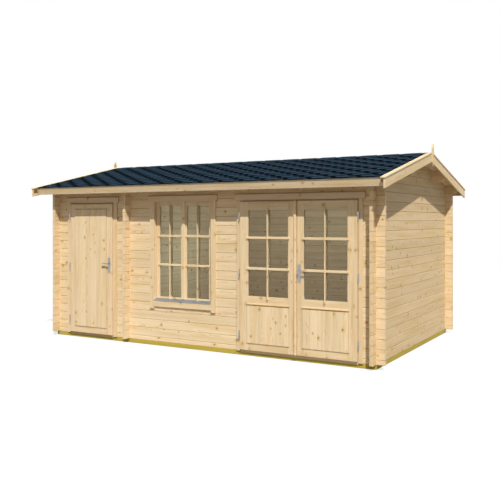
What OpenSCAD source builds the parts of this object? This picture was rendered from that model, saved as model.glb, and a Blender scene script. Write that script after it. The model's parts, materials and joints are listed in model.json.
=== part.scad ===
// Log cabin with a store room, a double glazed door and a shingled saddle roof.
// Millimetres. The origin lies on the ground at the middle of the plan.
// +X runs to the right along the front, -Y faces the front and +Z points up.

/* [House] */
// Width over the outer faces of the side walls
house_w = 4860; // [4400:10:5600]
// Depth over the outer faces of the front and rear walls
house_d = 3000; // [2600:10:3600]
// Clear width of the store between the left wall and the partition
store_w = 1265; // [1160:1:1400]
// Courses below the window opening, with the half log counted
sill_courses = 5; // [4:1:6]
// Courses over the doors and the window, with the top log counted
lintel_courses = 2; // [2:1:4]

/* [Logs] */
// Thickness of a log
log_t = 44; // [40:1:50]
// Height of one course
log_h = 114; // [112:0.5:118]
// Length of a log end past the crossing wall
log_end = 100; // [70:5:130]
// Chamfer along the edges of a log
log_bevel = 5; // [2:0.5:7]
// Width of the tongue on top of a log
tongue_w = 16; // [10:1:20]
// Height of the tongue
tongue_h = 8; // [5:0.5:12]
// Play of a tongue in its groove
tongue_play = 0.5; // [0.3:0.1:1]
// Gap between two pieces that rest on each other
seat = 0.3; // [0.2:0.05:0.5]

/* [Base and floor] */
// Height of the bearer beams
base_h = 55; // [40:1:70]
// Width of the bearer beams
base_w = 70; // [60:1:90]
// Number of joists between the front and rear bearers
joists = 7; // [5:1:9]
// Thickness of the floor boards
floor_t = 19; // [16:1:22]
// Gap between the floor and the walls
floor_gap = 6; // [3:1:12]

/* [Roof] */
// Pitch of the roof in degrees
roof_pitch = 12.8; // [11:0.1:15]
// Thickness of the roof boards
roof_t = 18; // [16:1:24]
// Thickness of the shingle layer
shingle_t = 7; // [5:0.5:9]
// Reach of the roof boards past the front and rear walls
eave_reach = 245; // [200:5:300]
// Overhang of the shingles past the roof boards
drip = 11; // [5:1:20]
// Reach of the barge boards past the side walls
gable_reach = 205; // [160:5:240]
// Thickness of the purlins
purlin_t = 44; // [40:1:60]
// Height of the slope purlins at their middle
purlin_h = 155; // [130:5:160]
// Distance of the slope purlins from the ridge
purlin_y = 707; // [680:1:730]
// Radius on the lower corner of the purlin ends
purlin_round = 70; // [40:5:90]
// Width of the ridge cap on each slope
ridge_w = 140; // [100:5:180]

/* [Barge boards] */
// Thickness of the barge boards
barge_t = 20; // [16:1:26]
// Height of the barge boards, measured plumb
barge_h = 110; // [95:1:130]
// Reach of the barge boards past the front and rear walls
barge_reach = 300; // [270:5:340]
// Width of the cap strip on the barge boards
barge_cap_w = 60; // [45:1:70]
// Thickness of the cap strip
barge_cap_t = 14; // [10:1:20]
// Overhang of the cap strip past the barge board
barge_cap_lip = 8; // [4:1:14]
// Width of the finial board
finial_w = 52; // [40:1:70]
// Height of the finial board
finial_h = 292; // [240:2:320]
// Height of the finial above the top of the barge boards
finial_rise = 119; // [90:1:140]
// Length of the pointed ends of the finial
finial_point = 60; // [40:1:80]
// Thickness of the finial board
finial_t = 18; // [14:1:24]
// Thickness of the fascia under the eave
fascia_t = 18; // [14:1:24]
// Height of the fascia, measured square to the roof
fascia_h = 78; // [60:1:100]
// Width of the battens under the roof boards behind the barge boards
batten_w = 45; // [35:1:55]
// Height of those battens, measured plumb
batten_h = 34; // [26:1:40]

/* [Doors] */
// Offset of the single door from the middle of the store
single_shift = -0.5; // [-40:0.5:40]
// Width of the single door's leaf
single_w = 780; // [740:1:800]
// Distance of the double door's leaves from the right wall
double_inset = 166; // [160:1:260]
// Width of one leaf of the double door
double_w = 761; // [720:1:775]
// Gap between the two leaves of the double door
meeting_gap = 8; // [7:0.5:12]
// Offset of that gap from the middle of the double door
meeting_shift = 13.5; // [0:0.5:20]
// Thickness of the leaves
leaf_t = 40; // [36:1:44]
// Height of the leaves
leaf_h = 1821; // [1700:1:2000]
// Distance of the leaves' lower edge above the bearers
leaf_lift = 20; // [18:1:24]
// Distance of the leaves' outer face in front of the wall
leaf_proud = 36; // [34:1:38]
// Width of the stiles of the single door
single_stile = 95; // [80:1:110]
// Width of the hinged stiles of the double door
double_stile = 117; // [100:1:130]
// Distance of the panes from the middle of the double door
meeting_stile = 103; // [95:1:125]
// Height of the top rail of the single door
single_top_rail = 74; // [60:1:90]
// Height of the top rail of the double door
double_top_rail = 115; // [95:1:130]
// Height of the bottom rails
bottom_rail = 90; // [70:1:105]
// Height of the middle rail of the double door
middle_rail = 104; // [90:1:120]
// Upper edge of the middle rail above the bottom of the leaf
middle_rail_top = 662; // [600:2:720]
// Thickness of the boarded panels
panel_t = 22; // [16:1:26]
// Distance of the panels' face in front of the stiles
panel_proud = 8; // [2:1:14]
// Lap of the double door's lower panels over their stiles
panel_lap = 20; // [10:1:26]
// Width of one board in the panels
panel_board = 98; // [70:1:120]
// Depth of the V grooves between the boards
panel_groove = 4; // [2:0.5:6]
// Width of the cover strip at the meeting edge
cover_strip_w = 36; // [26:1:44]
// Thickness of the cover strips
cover_strip_t = 16; // [10:1:20]
// Chamfer on the edges of the cover strips
cover_strip_c = 5; // [2:0.5:7]
// Height of the weather strips over the lower panels, at the leaf
drip_strip_h = 22; // [18:1:30]
// Height of the weather strips at their front edge
drip_strip_nose = 8; // [4:1:14]
// Reach of the weather strips in front of the stiles
drip_strip_d = 15; // [10:1:15]
// Thickness of the panes
pane_t = 4; // [3:0.5:6]
// Distance of the double door's panes behind the face of the leaves
pane_in = 12; // [8:1:24]

/* [Frames and trims] */
// Lap of the door frames behind the leaves
frame_lap = 15; // [10:1:20]
// Width of the frames beside the leaves
frame_w = 25; // [20:1:30]
// Least room for the head of the door frames over the leaves
frame_head = 30; // [25:1:40]
// Running gap round the leaves
leaf_gap = 6; // [5:0.5:8]
// Height of the thresholds
threshold_h = 14; // [8:1:14]
// Thickness of the board in front of the thresholds
kick_t = 12; // [8:1:16]
// Drop of that board below the top of the bearers
kick_drop = 18; // [10:1:30]
// Thickness of the outer trims
trim_t = 18; // [16:1:20]
// Thickness of the inner trims
inner_trim_t = 14; // [10:1:18]
// Width of the trims beside the single door
single_trim = 62; // [50:1:70]
// Width of the trims beside the double door
double_trim = 52; // [44:1:60]
// Height of the head trims
head_trim_h = 86; // [70:1:95]
// Reach of the head trims past the side trims
head_trim_ear = 26; // [10:1:40]

/* [Window] */
// Offset of the window from midway between the partition and the double door
window_shift = -9.5; // [-60:0.5:60]
// Clear width between the window's side trims
window_w = 898; // [860:2:940]
// Thickness of the window frame
window_frame_t = 26; // [20:1:30]
// Depth of the window frame
window_frame_d = 68; // [60:1:90]
// Thickness of the sashes
sash_t = 36; // [30:1:44]
// Gap beside and over the sashes
sash_gap = 2; // [1:0.5:4]
// Width of the outer stiles and the rails of the sashes
sash_stile = 55; // [45:1:65]
// Width of the sash stiles at the middle
sash_middle = 45; // [36:1:55]
// Width of the cover strip where the sashes meet
sash_strip_w = 50; // [36:1:60]
// Width of the window's side trims
window_trim = 69; // [55:1:80]
// Drop of the side trims below the opening
window_trim_drop = 78; // [60:1:90]
// Height of the sill board between the side trims
sill_board_h = 82; // [60:1:95]
// Height of the sill board's top above the frame
sill_nose = 7; // [3:1:12]
// Height of the weathered sill at the sashes above the frame
sill_rise = 33; // [20:1:40]
// Thickness of the sill flashing
flashing_t = 1.5; // [1:0.1:3]
// Reach and drop of the flashing's front lip
flashing_lip = 3; // [2:0.5:12]

/* [Hinges and handles] */
// Radius of the hinge barrels
barrel_r = 7; // [6:0.5:9]
// Length of a whole hinge
barrel_len = 100; // [80:2:120]
// Radius of the hinge pins
hinge_pin_r = 4; // [3:0.5:5]
// Radial clearance of the hinge pins
pin_play = 0.05; // [0.03:0.01:0.08]
// Distance of the hinge axis from the edge of the leaf
axis_out = 12; // [11.5:0.5:14]
// Width of the tails that hold a hinge
tail_w = 8; // [6:0.5:9]
// Height of the tails that hold a hinge
tail_h = 30; // [20:1:40]
// Height of the lowest hinge above the bottom of the leaf
hinge_low = 180; // [150:5:240]
// Height of the middle hinge above the bottom of the leaf
hinge_middle = 936; // [880:4:980]
// Distance of the upper hinge below the top of the leaf
hinge_high = 185; // [140:5:260]
// Width of the handle plates
plate_w = 40; // [34:1:46]
// Length of the handle plates
plate_len = 215; // [180:5:240]
// Thickness of the handle plates
plate_t = 3; // [2:0.5:5]
// Height of the lever above the bearers
lever_z = 1010; // [960:2:1040]
// Distance of the lever above the middle of its plate
lever_offset = 24; // [8:1:30]
// Distance of the single door's lever axis from the latch edge of its leaf
lever_in = 52; // [42:1:60]
// Distance of the double door's lever axis from the meeting edge of its leaf
double_lever_in = 28; // [26:1:40]
// Length of the lever arms
lever_len = 96; // [80:2:130]
// Radius of the lever arms
lever_r = 8; // [6:0.5:10]
// Distance of the lever arms from the plates
lever_reach = 29; // [24:1:50]
// Radius of the spindle and its necks
spindle_r = 8; // [7:0.5:9]

/* [Hidden] */
$fn = 48;

// Overlap of a cutting shape past the face that it cuts
over = 5;
log_body = log_h - seat;
half_w = house_w / 2;
half_d = house_d / 2;
wall_x = half_w - log_t / 2;
wall_y = half_d - log_t / 2;
inner_x = half_w - log_t;
inner_y = half_d - log_t;
partition_x = -inner_x + store_w + log_t / 2;
crossings = [-wall_x, partition_x, wall_x];

// Courses beside the doors, and in the whole front wall, with the half log counted
head_courses = ceil((leaf_lift + leaf_h + frame_head) / log_h + 0.5);
front_courses = head_courses + lintel_courses;

// Heights, all above the ground
wall_top = base_h + log_h * (front_courses - 0.5);
head_z = base_h + log_h * (head_courses - 0.5);
sill_z = base_h + log_h * (sill_courses - 0.5);
leaf_z = base_h + leaf_lift;
leaf_top = leaf_z + leaf_h;
head_trim_z = leaf_top + leaf_gap;

// Roof planes: underside, board top and shingle top at a distance from the ridge
slope = tan(roof_pitch);
roof_v = roof_t / cos(roof_pitch);
shingle_v = shingle_t / cos(roof_pitch);
cap_v = barge_cap_t / cos(roof_pitch);
function under(y) = wall_top + (wall_y - abs(y)) * slope;
board_end = half_d + eave_reach;
barge_end = half_d + barge_reach;
barge_x = half_w + gable_reach;
roof_x = barge_x - barge_t - seat;
cap_in = barge_x + barge_cap_lip - barge_cap_w;
side_courses = ceil((under(0) - base_h) / log_h);
plain_courses = front_courses - 1;

// Edges of the doors and of the openings in the front wall
single_x = -inner_x + (store_w - single_w) / 2 + single_shift;
single_end = single_x + single_w;
double_end = inner_x - double_inset;
double_x = double_end - double_w - meeting_gap / 2;
double_start = double_end - 2 * double_w - meeting_gap;
window_x = (partition_x + log_t / 2 + double_start) / 2 + window_shift;
window_half = window_w / 2;
window_rough = window_half + window_frame_t + seat;
leaf_face = -half_d - leaf_proud;
leaf_back = leaf_face + leaf_t;
frame_face = leaf_back + leaf_gap - 1;
trim_face = -half_d - trim_t;
inner_trim_face = -inner_y + inner_trim_t;
hinge_heights = [leaf_z + hinge_low, leaf_z + hinge_middle, leaf_top - hinge_high];

wood = "#E9CF9E";
pale_wood = "#EBD6A9";
treated = "#A8A24A";
slate = "#232B38";
steel = "#9AA0A5";
zinc = "#8496A8";
pane = "#9A917F";

// Extrudes an outline in Y and Z along X from x0 to x1
module along_x(x0, x1) {
    translate([x0, 0, 0])
        rotate([90, 0, 90])
            linear_extrude(x1 - x0)
                children();
}

// Extrudes an outline in X and Z along Y from y0 to y1
module along_y(y0, y1) {
    translate([0, y1, 0])
        rotate([90, 0, 0])
            linear_extrude(y1 - y0)
                children();
}

// Block between two corners
module block(low, high) {
    translate(low)
        cube(high - low);
}

// Outline of a log, bottom edge at 0, with a groove below and a tongue on top
function log_outline(h, grooved, tongued) =
    let (t = log_t / 2, c = log_bevel, g = tongue_w / 2 + tongue_play, w = tongue_w / 2)
    let (d = tongue_h + 2 * tongue_play)
    concat(
        [[-t + c, 0]],
        grooved ? [[-g, 0], [-g, d], [g, d], [g, 0]] : [],
        [[t - c, 0], [t, c], [t, h - c], [t - c, h]],
        tongued ? [[w, h], [w, h + tongue_h], [-w, h + tongue_h], [-w, h]] : [],
        [[-t + c, h], [-t, h - c], [-t, c]]
    );

// Bottom of a front or rear course, and its height
function course_z(k) = base_h + (k == 0 ? 0 : log_h * (k - 0.5));
function course_h(k) = (k == 0 ? log_h / 2 : log_h) - seat;

// Space under the roof boards that the walls may fill
module under_roof() {
    reach = half_d + log_end + over;
    along_x(-barge_x, barge_x)
        polygon([
            [-reach, 0], [reach, 0], [reach, under(reach) - seat],
            [0, under(0) - seat], [-reach, under(reach) - seat]
        ]);
}

// Notches where walls that run the other way cross a log along X
module notches_x(y, z, h, has_lower) {
    w = log_t + 2 * seat;
    for (x = crossings) {
        if (has_lower)
            translate([x - w / 2, y - log_t, z - over])
                cube([w, 2 * log_t, over + log_h / 4]);
        translate([x - w / 2, y - log_t, z + h - log_h / 4])
            cube([w, 2 * log_t, log_h]);
    }
}

// Notches where the front and rear walls cross a log along Y
module notches_y(x, z, h) {
    w = log_t + 2 * seat;
    for (y = [-wall_y, wall_y]) {
        translate([x - log_t, y - w / 2, z - over])
            cube([2 * log_t, w, over + log_h / 4]);
        translate([x - log_t, y - w / 2, z + h - log_h / 4])
            cube([2 * log_t, w, log_h]);
    }
}

// One log of the front or rear wall between two ends
module log_x(k, x0, x1, y) {
    z = course_z(k);
    h = course_h(k);
    difference() {
        translate([0, y, z])
            along_x(x0, x1)
                polygon(log_outline(h, k > 0, true));
        notches_x(y, z, h, k > 0);
    }
}

// Quarter round that a beam end keeps at its lower outer corner
module end_round(x_end, side, y, z, r) {
    translate([x_end - side * r, y, z + r])
        difference() {
            translate([side > 0 ? 0 : -r - over, -log_t, -r - over])
                cube([r + over, 2 * log_t, r + over]);
            rotate([90, 0, 0])
                cylinder(r = r, h = 4 * log_t, center = true);
        }
}

// Top log of the front or rear wall, which carries the eave and the barge boards
module top_log(y) {
    k = front_courses - 1;
    z = course_z(k);
    intersection() {
        difference() {
            translate([0, y, z])
                along_x(-roof_x + seat, roof_x - seat)
                    polygon(log_outline(log_h + tongue_h, true, false));
            notches_x(y, z, log_body, true);
            for (side = [-1, 1])
                end_round(side * (roof_x - seat), side, y, z, purlin_round);
        }
        under_roof();
    }
}

// Outline of a slope purlin with its top cut to the roof, grown by some play
module slope_purlin_outline(side, play) {
    y0 = purlin_y - purlin_t / 2 - play;
    y1 = purlin_y + purlin_t / 2 + play;
    z0 = under(purlin_y) - purlin_h - play;
    polygon([
        [side * y0, z0], [side * y1, z0],
        [side * y1, under(y1) - seat + 2 * play], [side * y0, under(y0) - seat + 2 * play]
    ]);
}

// Outline of the ridge purlin with its top cut to both slopes
module ridge_purlin_outline(play) {
    y1 = purlin_t / 2 + play;
    z0 = under(0) - purlin_h - play;
    polygon([
        [-y1, z0], [y1, z0], [y1, under(y1) - seat + 2 * play],
        [0, under(0) - seat + 2 * play], [-y1, under(y1) - seat + 2 * play]
    ]);
}

// Wall of logs along Y with a gable that the purlins pass through
module wall_y_logs(x) {
    reach = half_d + log_end;
    for (j = [0 : plain_courses - 1])
        difference() {
            translate([x, 0, base_h + j * log_h])
                along_y(-reach, reach)
                    polygon(log_outline(log_body, j > 0, true));
            notches_y(x, base_h + j * log_h, log_body);
        }
    difference() {
        intersection() {
            for (j = [plain_courses : side_courses - 1])
                translate([x, 0, base_h + j * log_h])
                    along_y(-reach, reach)
                        polygon(log_outline(log_body, j == plain_courses, false));
            under_roof();
        }
        for (y = [-wall_y, wall_y])
            translate([x - log_t, y - log_t / 2 - seat, 0])
                cube([2 * log_t, log_t + 2 * seat, base_h + plain_courses * log_h + log_h / 4]);
        along_x(x - log_t, x + log_t)
            ridge_purlin_outline(seat);
        for (side = [-1, 1])
            along_x(x - log_t, x + log_t)
                slope_purlin_outline(side, seat);
    }
}

// Piece of the front wall from course k0 to course k1
module front_logs(k0, k1, x0, x1) {
    for (k = [k0 : k1])
        log_x(k, x0, x1, -wall_y);
}

module base_beams() color(treated) {
    gap = seat;
    side = house_d - 2 * base_w - 2 * gap;
    for (y = [-half_d, half_d - base_w])
        translate([-half_w, y, 0])
            cube([house_w, base_w, base_h]);
    for (i = [0 : joists - 1]) {
        x = -half_w + i * (house_w - base_w) / (joists - 1);
        translate([x, -side / 2, 0])
            cube([base_w, side, base_h]);
    }
}

module floor_boards() color(pale_wood) {
    y1 = inner_y - floor_gap;
    z0 = base_h + seat;
    rooms = [
        [-inner_x, partition_x - log_t / 2],
        [partition_x + log_t / 2, inner_x]
    ];
    for (room = rooms)
        block([room[0] + floor_gap, -y1, z0], [room[1] - floor_gap, y1, z0 + floor_t]);
}

module front_wall_left_pier() color(wood)
    front_logs(0, head_courses - 1, -half_w - log_end, single_x - frame_w - seat);

module front_wall_sill_logs() color(wood)
    front_logs(0, sill_courses - 1, single_end + frame_w + seat, double_start - frame_w - seat);

module front_wall_store_pier() color(wood)
    front_logs(sill_courses, head_courses - 1, single_end + frame_w + seat, window_x - window_rough);

module front_wall_window_pier() color(wood)
    front_logs(sill_courses, head_courses - 1, window_x + window_rough, double_start - frame_w - seat);

module front_wall_right_pier() color(wood)
    front_logs(0, head_courses - 1, double_end + frame_w + seat, half_w + log_end);

module front_wall_head_logs() color(wood) {
    front_logs(head_courses, front_courses - 2, -half_w - log_end, half_w + log_end);
    top_log(-wall_y);
}

module rear_wall() color(wood) {
    for (k = [0 : front_courses - 2])
        log_x(k, -half_w - log_end, half_w + log_end, wall_y);
    top_log(wall_y);
}

module left_wall() color(wood)
    wall_y_logs(-wall_x);

module right_wall() color(wood)
    wall_y_logs(wall_x);

module partition_wall() color(wood)
    wall_y_logs(partition_x);

module purlins() color(wood) {
    x_end = roof_x - seat;
    z_slope = under(purlin_y) - purlin_h;
    z_ridge = under(0) - purlin_h;
    for (side = [-1, 1])
        difference() {
            along_x(-x_end, x_end)
                slope_purlin_outline(side, 0);
            for (end = [-1, 1])
                end_round(end * x_end, end, side * purlin_y, z_slope, purlin_round);
        }
    difference() {
        along_x(-x_end, x_end)
            ridge_purlin_outline(0);
        for (end = [-1, 1])
            end_round(end * x_end, end, 0, z_ridge, purlin_round);
    }
}

// Outline of a layer on one slope from distance y0 to y1, between two plumb offsets
module slope_outline(side, y0, y1, low, high) {
    polygon([
        [side * y0, under(y0) + low], [side * y1, under(y1) + low],
        [side * y1, under(y1) + high], [side * y0, under(y0) + high]
    ]);
}

module roof_boards(side) color(pale_wood)
    along_x(-roof_x, roof_x)
        slope_outline(side, seat / 2, board_end, 0, roof_v);

module roof_boards_front() roof_boards(-1);
module roof_boards_rear() roof_boards(1);

module shingles(side) color(slate)
    along_x(-cap_in + seat, cap_in - seat)
        slope_outline(side, seat / 2, board_end + drip, roof_v + seat, roof_v + seat + shingle_v);

module shingles_front() shingles(-1);
module shingles_rear() shingles(1);

module ridge_cap() color(slate) {
    low = roof_v + 2 * seat + shingle_v;
    high = low + shingle_v;
    along_x(-cap_in + seat, cap_in - seat)
        polygon([
            [-ridge_w, under(ridge_w) + low], [0, under(0) + low], [ridge_w, under(ridge_w) + low],
            [ridge_w, under(ridge_w) + high], [0, under(0) + high], [-ridge_w, under(ridge_w) + high]
        ]);
}

// Battens on one slope of one gable, cut where the purlins and the top log pass
module gable_batten(side, end, play) {
    x0 = roof_x - seat - batten_w - play;
    x1 = roof_x - seat + play;
    low = -batten_h - play;
    stops = [
        [purlin_t / 2 + seat, purlin_y - purlin_t / 2 - seat],
        [purlin_y + purlin_t / 2 + seat, inner_y - seat],
        [half_d + seat, board_end - seat + play]
    ];
    for (s = stops)
        along_x(min(end * x0, end * x1), max(end * x0, end * x1))
            slope_outline(side, s[0], s[1], low, -seat + play);
}

module gable_battens() color(wood)
    for (side = [-1, 1], end = [-1, 1])
        gable_batten(side, end, 0);

// Fascia square to the roof, let in round the ends of the battens
module fascia_boards() color(wood) {
    across = [sin(roof_pitch), cos(roof_pitch)] * fascia_h;
    inward = [cos(roof_pitch), -sin(roof_pitch)] * fascia_t;
    top = [board_end - seat, under(board_end - seat) - seat];
    outline = [top, top - across, top - across - inward, top - inward];
    for (side = [-1, 1])
        difference() {
            along_x(-roof_x + seat, roof_x - seat)
                polygon([for (p = outline) [side * p[0], p[1]]]);
            for (end = [-1, 1])
                gable_batten(side, end, 2 * seat);
        }
}

// Barge boards and their cap strips at one gable
module barge_boards(end) color(pale_wood) {
    x0 = barge_x - barge_t;
    notch = finial_w / 2 + seat;
    for (side = [-1, 1]) {
        along_x(min(end * x0, end * barge_x), max(end * x0, end * barge_x))
            slope_outline(side, seat / 2, barge_end, roof_v - barge_h, roof_v);
        difference() {
            along_x(
                min(end * cap_in, end * (barge_x + barge_cap_lip)),
                max(end * cap_in, end * (barge_x + barge_cap_lip))
            )
                slope_outline(side, seat / 2, barge_end + barge_cap_lip, roof_v + seat, roof_v + seat + cap_v);
            translate([end * (barge_x + log_t) - log_t, -notch, under(0) - barge_h])
                cube([2 * log_t, 2 * notch, 2 * barge_h]);
        }
    }
}

module barge_boards_left() barge_boards(-1);
module barge_boards_right() barge_boards(1);

module finials() color(pale_wood) {
    top = under(0) + roof_v + finial_rise;
    low = top - finial_h;
    w = finial_w / 2;
    for (end = [-1, 1]) {
        x0 = end > 0 ? barge_x + seat : -barge_x - seat - finial_t;
        along_x(x0, x0 + finial_t)
            polygon([
                [0, low], [w, low + finial_point], [w, top - finial_point],
                [0, top], [-w, top - finial_point], [-w, low + finial_point]
            ]);
    }
}

// Door frame with rebated jambs and head and a threshold, for leaves from x0 to x1
module door_frame(x0, x1) {
    y_in = -inner_y;
    y_out = -half_d + seat;
    top = head_z - seat;
    low = base_h + seat;
    step = leaf_top + leaf_gap;
    for (side = [-1, 1]) {
        edge = side < 0 ? x0 : x1;
        translate([0, 0, low])
            linear_extrude(top - low)
                polygon([
                    [edge + side * frame_w, y_out], [edge + side * leaf_gap, y_out],
                    [edge + side * leaf_gap, frame_face], [edge - side * frame_lap, frame_face],
                    [edge - side * frame_lap, y_in], [edge + side * frame_w, y_in]
                ]);
    }
    along_x(x0 + frame_lap + seat, x1 - frame_lap - seat)
        polygon([
            [frame_face, leaf_top - frame_lap], [frame_face, step], [y_out, step],
            [y_out, top], [y_in, top], [y_in, leaf_top - frame_lap]
        ]);
    block(
        [x0 + frame_lap + seat, y_out, low],
        [x1 - frame_lap - seat, y_in, base_h + threshold_h]
    );
    block(
        [x0 + seat, -half_d - kick_t, base_h - kick_drop],
        [x1 - seat, -half_d - seat, base_h + threshold_h]
    );
}

// Trim boards on both faces of the wall round a door
module door_trim(x0, x1, w) {
    y1 = -half_d - seat;
    low = base_h + seat;
    for (side = [-1, 1]) {
        inner = (side < 0 ? x0 : x1) + side * leaf_gap;
        outer = inner + side * w;
        block([min(inner, outer), trim_face, low], [max(inner, outer), y1, head_trim_z]);
        block(
            [min(inner, outer), -inner_y + seat, base_h + floor_t + 2 * seat],
            [max(inner, outer), inner_trim_face, head_trim_z]
        );
    }
    ear = leaf_gap + w + head_trim_ear;
    block(
        [x0 - ear, trim_face, head_trim_z + seat],
        [x1 + ear, y1, head_trim_z + head_trim_h]
    );
    block(
        [x0 - leaf_gap - w, -inner_y + seat, head_trim_z + seat],
        [x1 + leaf_gap + w, inner_trim_face, head_trim_z + w]
    );
}

module single_door_frame() color(wood)
    door_frame(single_x, single_end);

module single_door_trim() color(pale_wood)
    door_trim(single_x, single_end, single_trim);

module double_door_frame() color(wood)
    door_frame(double_start, double_end);

module double_door_trim() color(pale_wood)
    door_trim(double_start, double_end, double_trim);

// Faces of the window's frame and sashes, and the line of its weathered sill
window_y0 = -half_d + seat;
window_y1 = window_y0 + window_frame_d;
sash_face = window_y1 - sash_t;
weather_y = sash_face - sash_gap;
weather_low = sill_z + window_frame_t;
weather_high = weather_low + sill_rise;
weather_nose = weather_low + sill_nose;
weather_slope = (weather_high - weather_nose) / (weather_y - trim_face);
sash_z = weather_low + seat;
sash_top = head_z - window_frame_t - seat - sash_gap;

module window_frame() color(wood) {
    x0 = window_x - window_half;
    x1 = window_x + window_half;
    low = sill_z + seat;
    top = head_z - seat;
    g = tongue_w / 2 + tongue_play;
    groove_top = sill_z + tongue_h + tongue_play;
    along_x(x0 - window_frame_t, x1 + window_frame_t)
        polygon([
            [window_y0, low], [-wall_y - g, low], [-wall_y - g, groove_top], [-wall_y + g, groove_top],
            [-wall_y + g, low], [window_y1, low], [window_y1, weather_low], [window_y0, weather_low]
        ]);
    for (x = [x0 - window_frame_t, x1])
        block([x, window_y0, weather_low + seat], [x + window_frame_t, window_y1, top]);
    block([x0 + seat, window_y0, top - window_frame_t], [x1 - seat, window_y1, top]);
    along_x(x0 + seat, x1 - seat)
        polygon([
            [window_y0, weather_low + seat], [weather_y, weather_low + seat], [weather_y, weather_high],
            [window_y0, weather_nose + weather_slope * trim_t]
        ]);
}

module window_trim() color(pale_wood) {
    y1 = -half_d - seat;
    low = sill_z - window_trim_drop;
    for (side = [-1, 1]) {
        inner = window_x + side * window_half;
        outer = inner + side * window_trim;
        block([min(inner, outer), trim_face, low], [max(inner, outer), y1, head_trim_z]);
        block(
            [min(inner, outer) + (side > 0 ? window_frame_t : 0), -inner_y + seat, sill_z],
            [max(inner, outer) - (side < 0 ? window_frame_t : 0), inner_trim_face, head_z]
        );
    }
    ear = window_half + window_trim + head_trim_ear;
    block(
        [window_x - ear, trim_face, head_trim_z + seat],
        [window_x + ear, y1, head_trim_z + head_trim_h]
    );
    block(
        [window_x - window_half + seat, trim_face, weather_nose - sill_board_h],
        [window_x + window_half - seat, y1, weather_nose - seat]
    );
}

// Bent sheet that sheds water from the sash over the sill board
module window_flashing() color(zinc) {
    y_front = trim_face - flashing_lip;
    up = 2 * seat;
    high = weather_high + up;
    low = weather_nose - weather_slope * flashing_lip + up;
    along_x(window_x - window_half + seat, window_x + window_half - seat)
        polygon([
            [weather_y, high], [y_front, low], [y_front, low - flashing_lip],
            [y_front - flashing_t, low - flashing_lip], [y_front - flashing_t, low + flashing_t],
            [weather_y, high + flashing_t]
        ]);
}

// Stiles and rails of one sash between x0 and x1
module sash(x0, x1, left_w, right_w) {
    block([x0, sash_face, sash_z], [x0 + left_w, window_y1, sash_top]);
    block([x1 - right_w, sash_face, sash_z], [x1, window_y1, sash_top]);
    for (z = [sash_z, sash_top - sash_stile])
        block([x0 + left_w + seat, sash_face, z], [x1 - right_w - seat, window_y1, z + sash_stile]);
}

// Chamfered strip planted on a face at y, from x0 to x1 and from z0 to z1
module cover_strip(x0, x1, y, z0, z1) {
    y1 = y - seat;
    y0 = y1 - cover_strip_t;
    c = cover_strip_c;
    translate([0, 0, z0])
        linear_extrude(z1 - z0)
            polygon([[x0, y1], [x0, y0 + c], [x0 + c, y0], [x1 - c, y0], [x1, y0 + c], [x1, y1]]);
}

module window_sashes() color(pale_wood) {
    x0 = window_x - window_half + sash_gap;
    x1 = window_x + window_half - sash_gap;
    sash(x0, window_x - sash_gap / 2, sash_stile, sash_middle);
    sash(window_x + sash_gap / 2, x1, sash_middle, sash_stile);
    cover_strip(
        window_x - sash_strip_w / 2, window_x + sash_strip_w / 2, sash_face,
        weather_high + 2 * flashing_t + 2 * seat, sash_top
    );
}

module window_glass() color(pane) {
    y = sash_face + sash_t / 2;
    z0 = sash_z + sash_stile + seat;
    z1 = sash_top - sash_stile - seat;
    inner = sash_gap / 2 + sash_middle + seat;
    outer = window_half - sash_gap - sash_stile - seat;
    for (side = [-1, 1]) {
        xa = window_x + side * inner;
        xb = window_x + side * outer;
        block([min(xa, xb), y, z0], [max(xa, xb), y + pane_t, z1]);
    }
}

// Lower half of the hinges with their pins, held by the trim; side is the hinge edge
module hinge_post(edge, side, z) {
    x = edge + side * axis_out;
    half = barrel_len / 2;
    translate([x, leaf_face, z - half])
        cylinder(r = barrel_r, h = half - seat);
    translate([x, leaf_face, z - over])
        cylinder(r = hinge_pin_r, h = half - over);
    block(
        [x - tail_w / 2, leaf_face + seat, z - half / 2 - tail_h / 2],
        [x + tail_w / 2, trim_face - seat, z - half / 2 + tail_h / 2]
    );
}

module hinge_pins() color(steel)
    for (z = hinge_heights) {
        hinge_post(single_x, -1, z);
        hinge_post(double_start, -1, z);
        hinge_post(double_end, 1, z);
    }

// Upper halves of the hinges, bored for the pins and tailed into the edge of the leaf
module leaf_hinges(edge, side) {
    x = edge + side * axis_out;
    half = barrel_len / 2;
    x_tail = edge + side * seat;
    for (z = hinge_heights)
        difference() {
            union() {
                translate([x, leaf_face, z])
                    cylinder(r = barrel_r, h = half);
                block(
                    [min(x, x_tail), leaf_face, z + half / 2 - tail_h / 2],
                    [max(x, x_tail), leaf_face + tail_w, z + half / 2 + tail_h / 2]
                );
            }
            translate([x, leaf_face, z - over])
                cylinder(r = hinge_pin_r + pin_play, h = half);
        }
}

// Two stiles and the rails of a leaf; the rails are pairs of lower and upper edge
module leaf_frame(x0, x1, left_w, right_w, rails) {
    block([x0, leaf_face, leaf_z], [x0 + left_w, leaf_back, leaf_top]);
    block([x1 - right_w, leaf_face, leaf_z], [x1, leaf_back, leaf_top]);
    for (r = rails)
        block([x0 + left_w + seat, leaf_face, leaf_z + r[0]], [x1 - right_w - seat, leaf_back, leaf_z + r[1]]);
}

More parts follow.
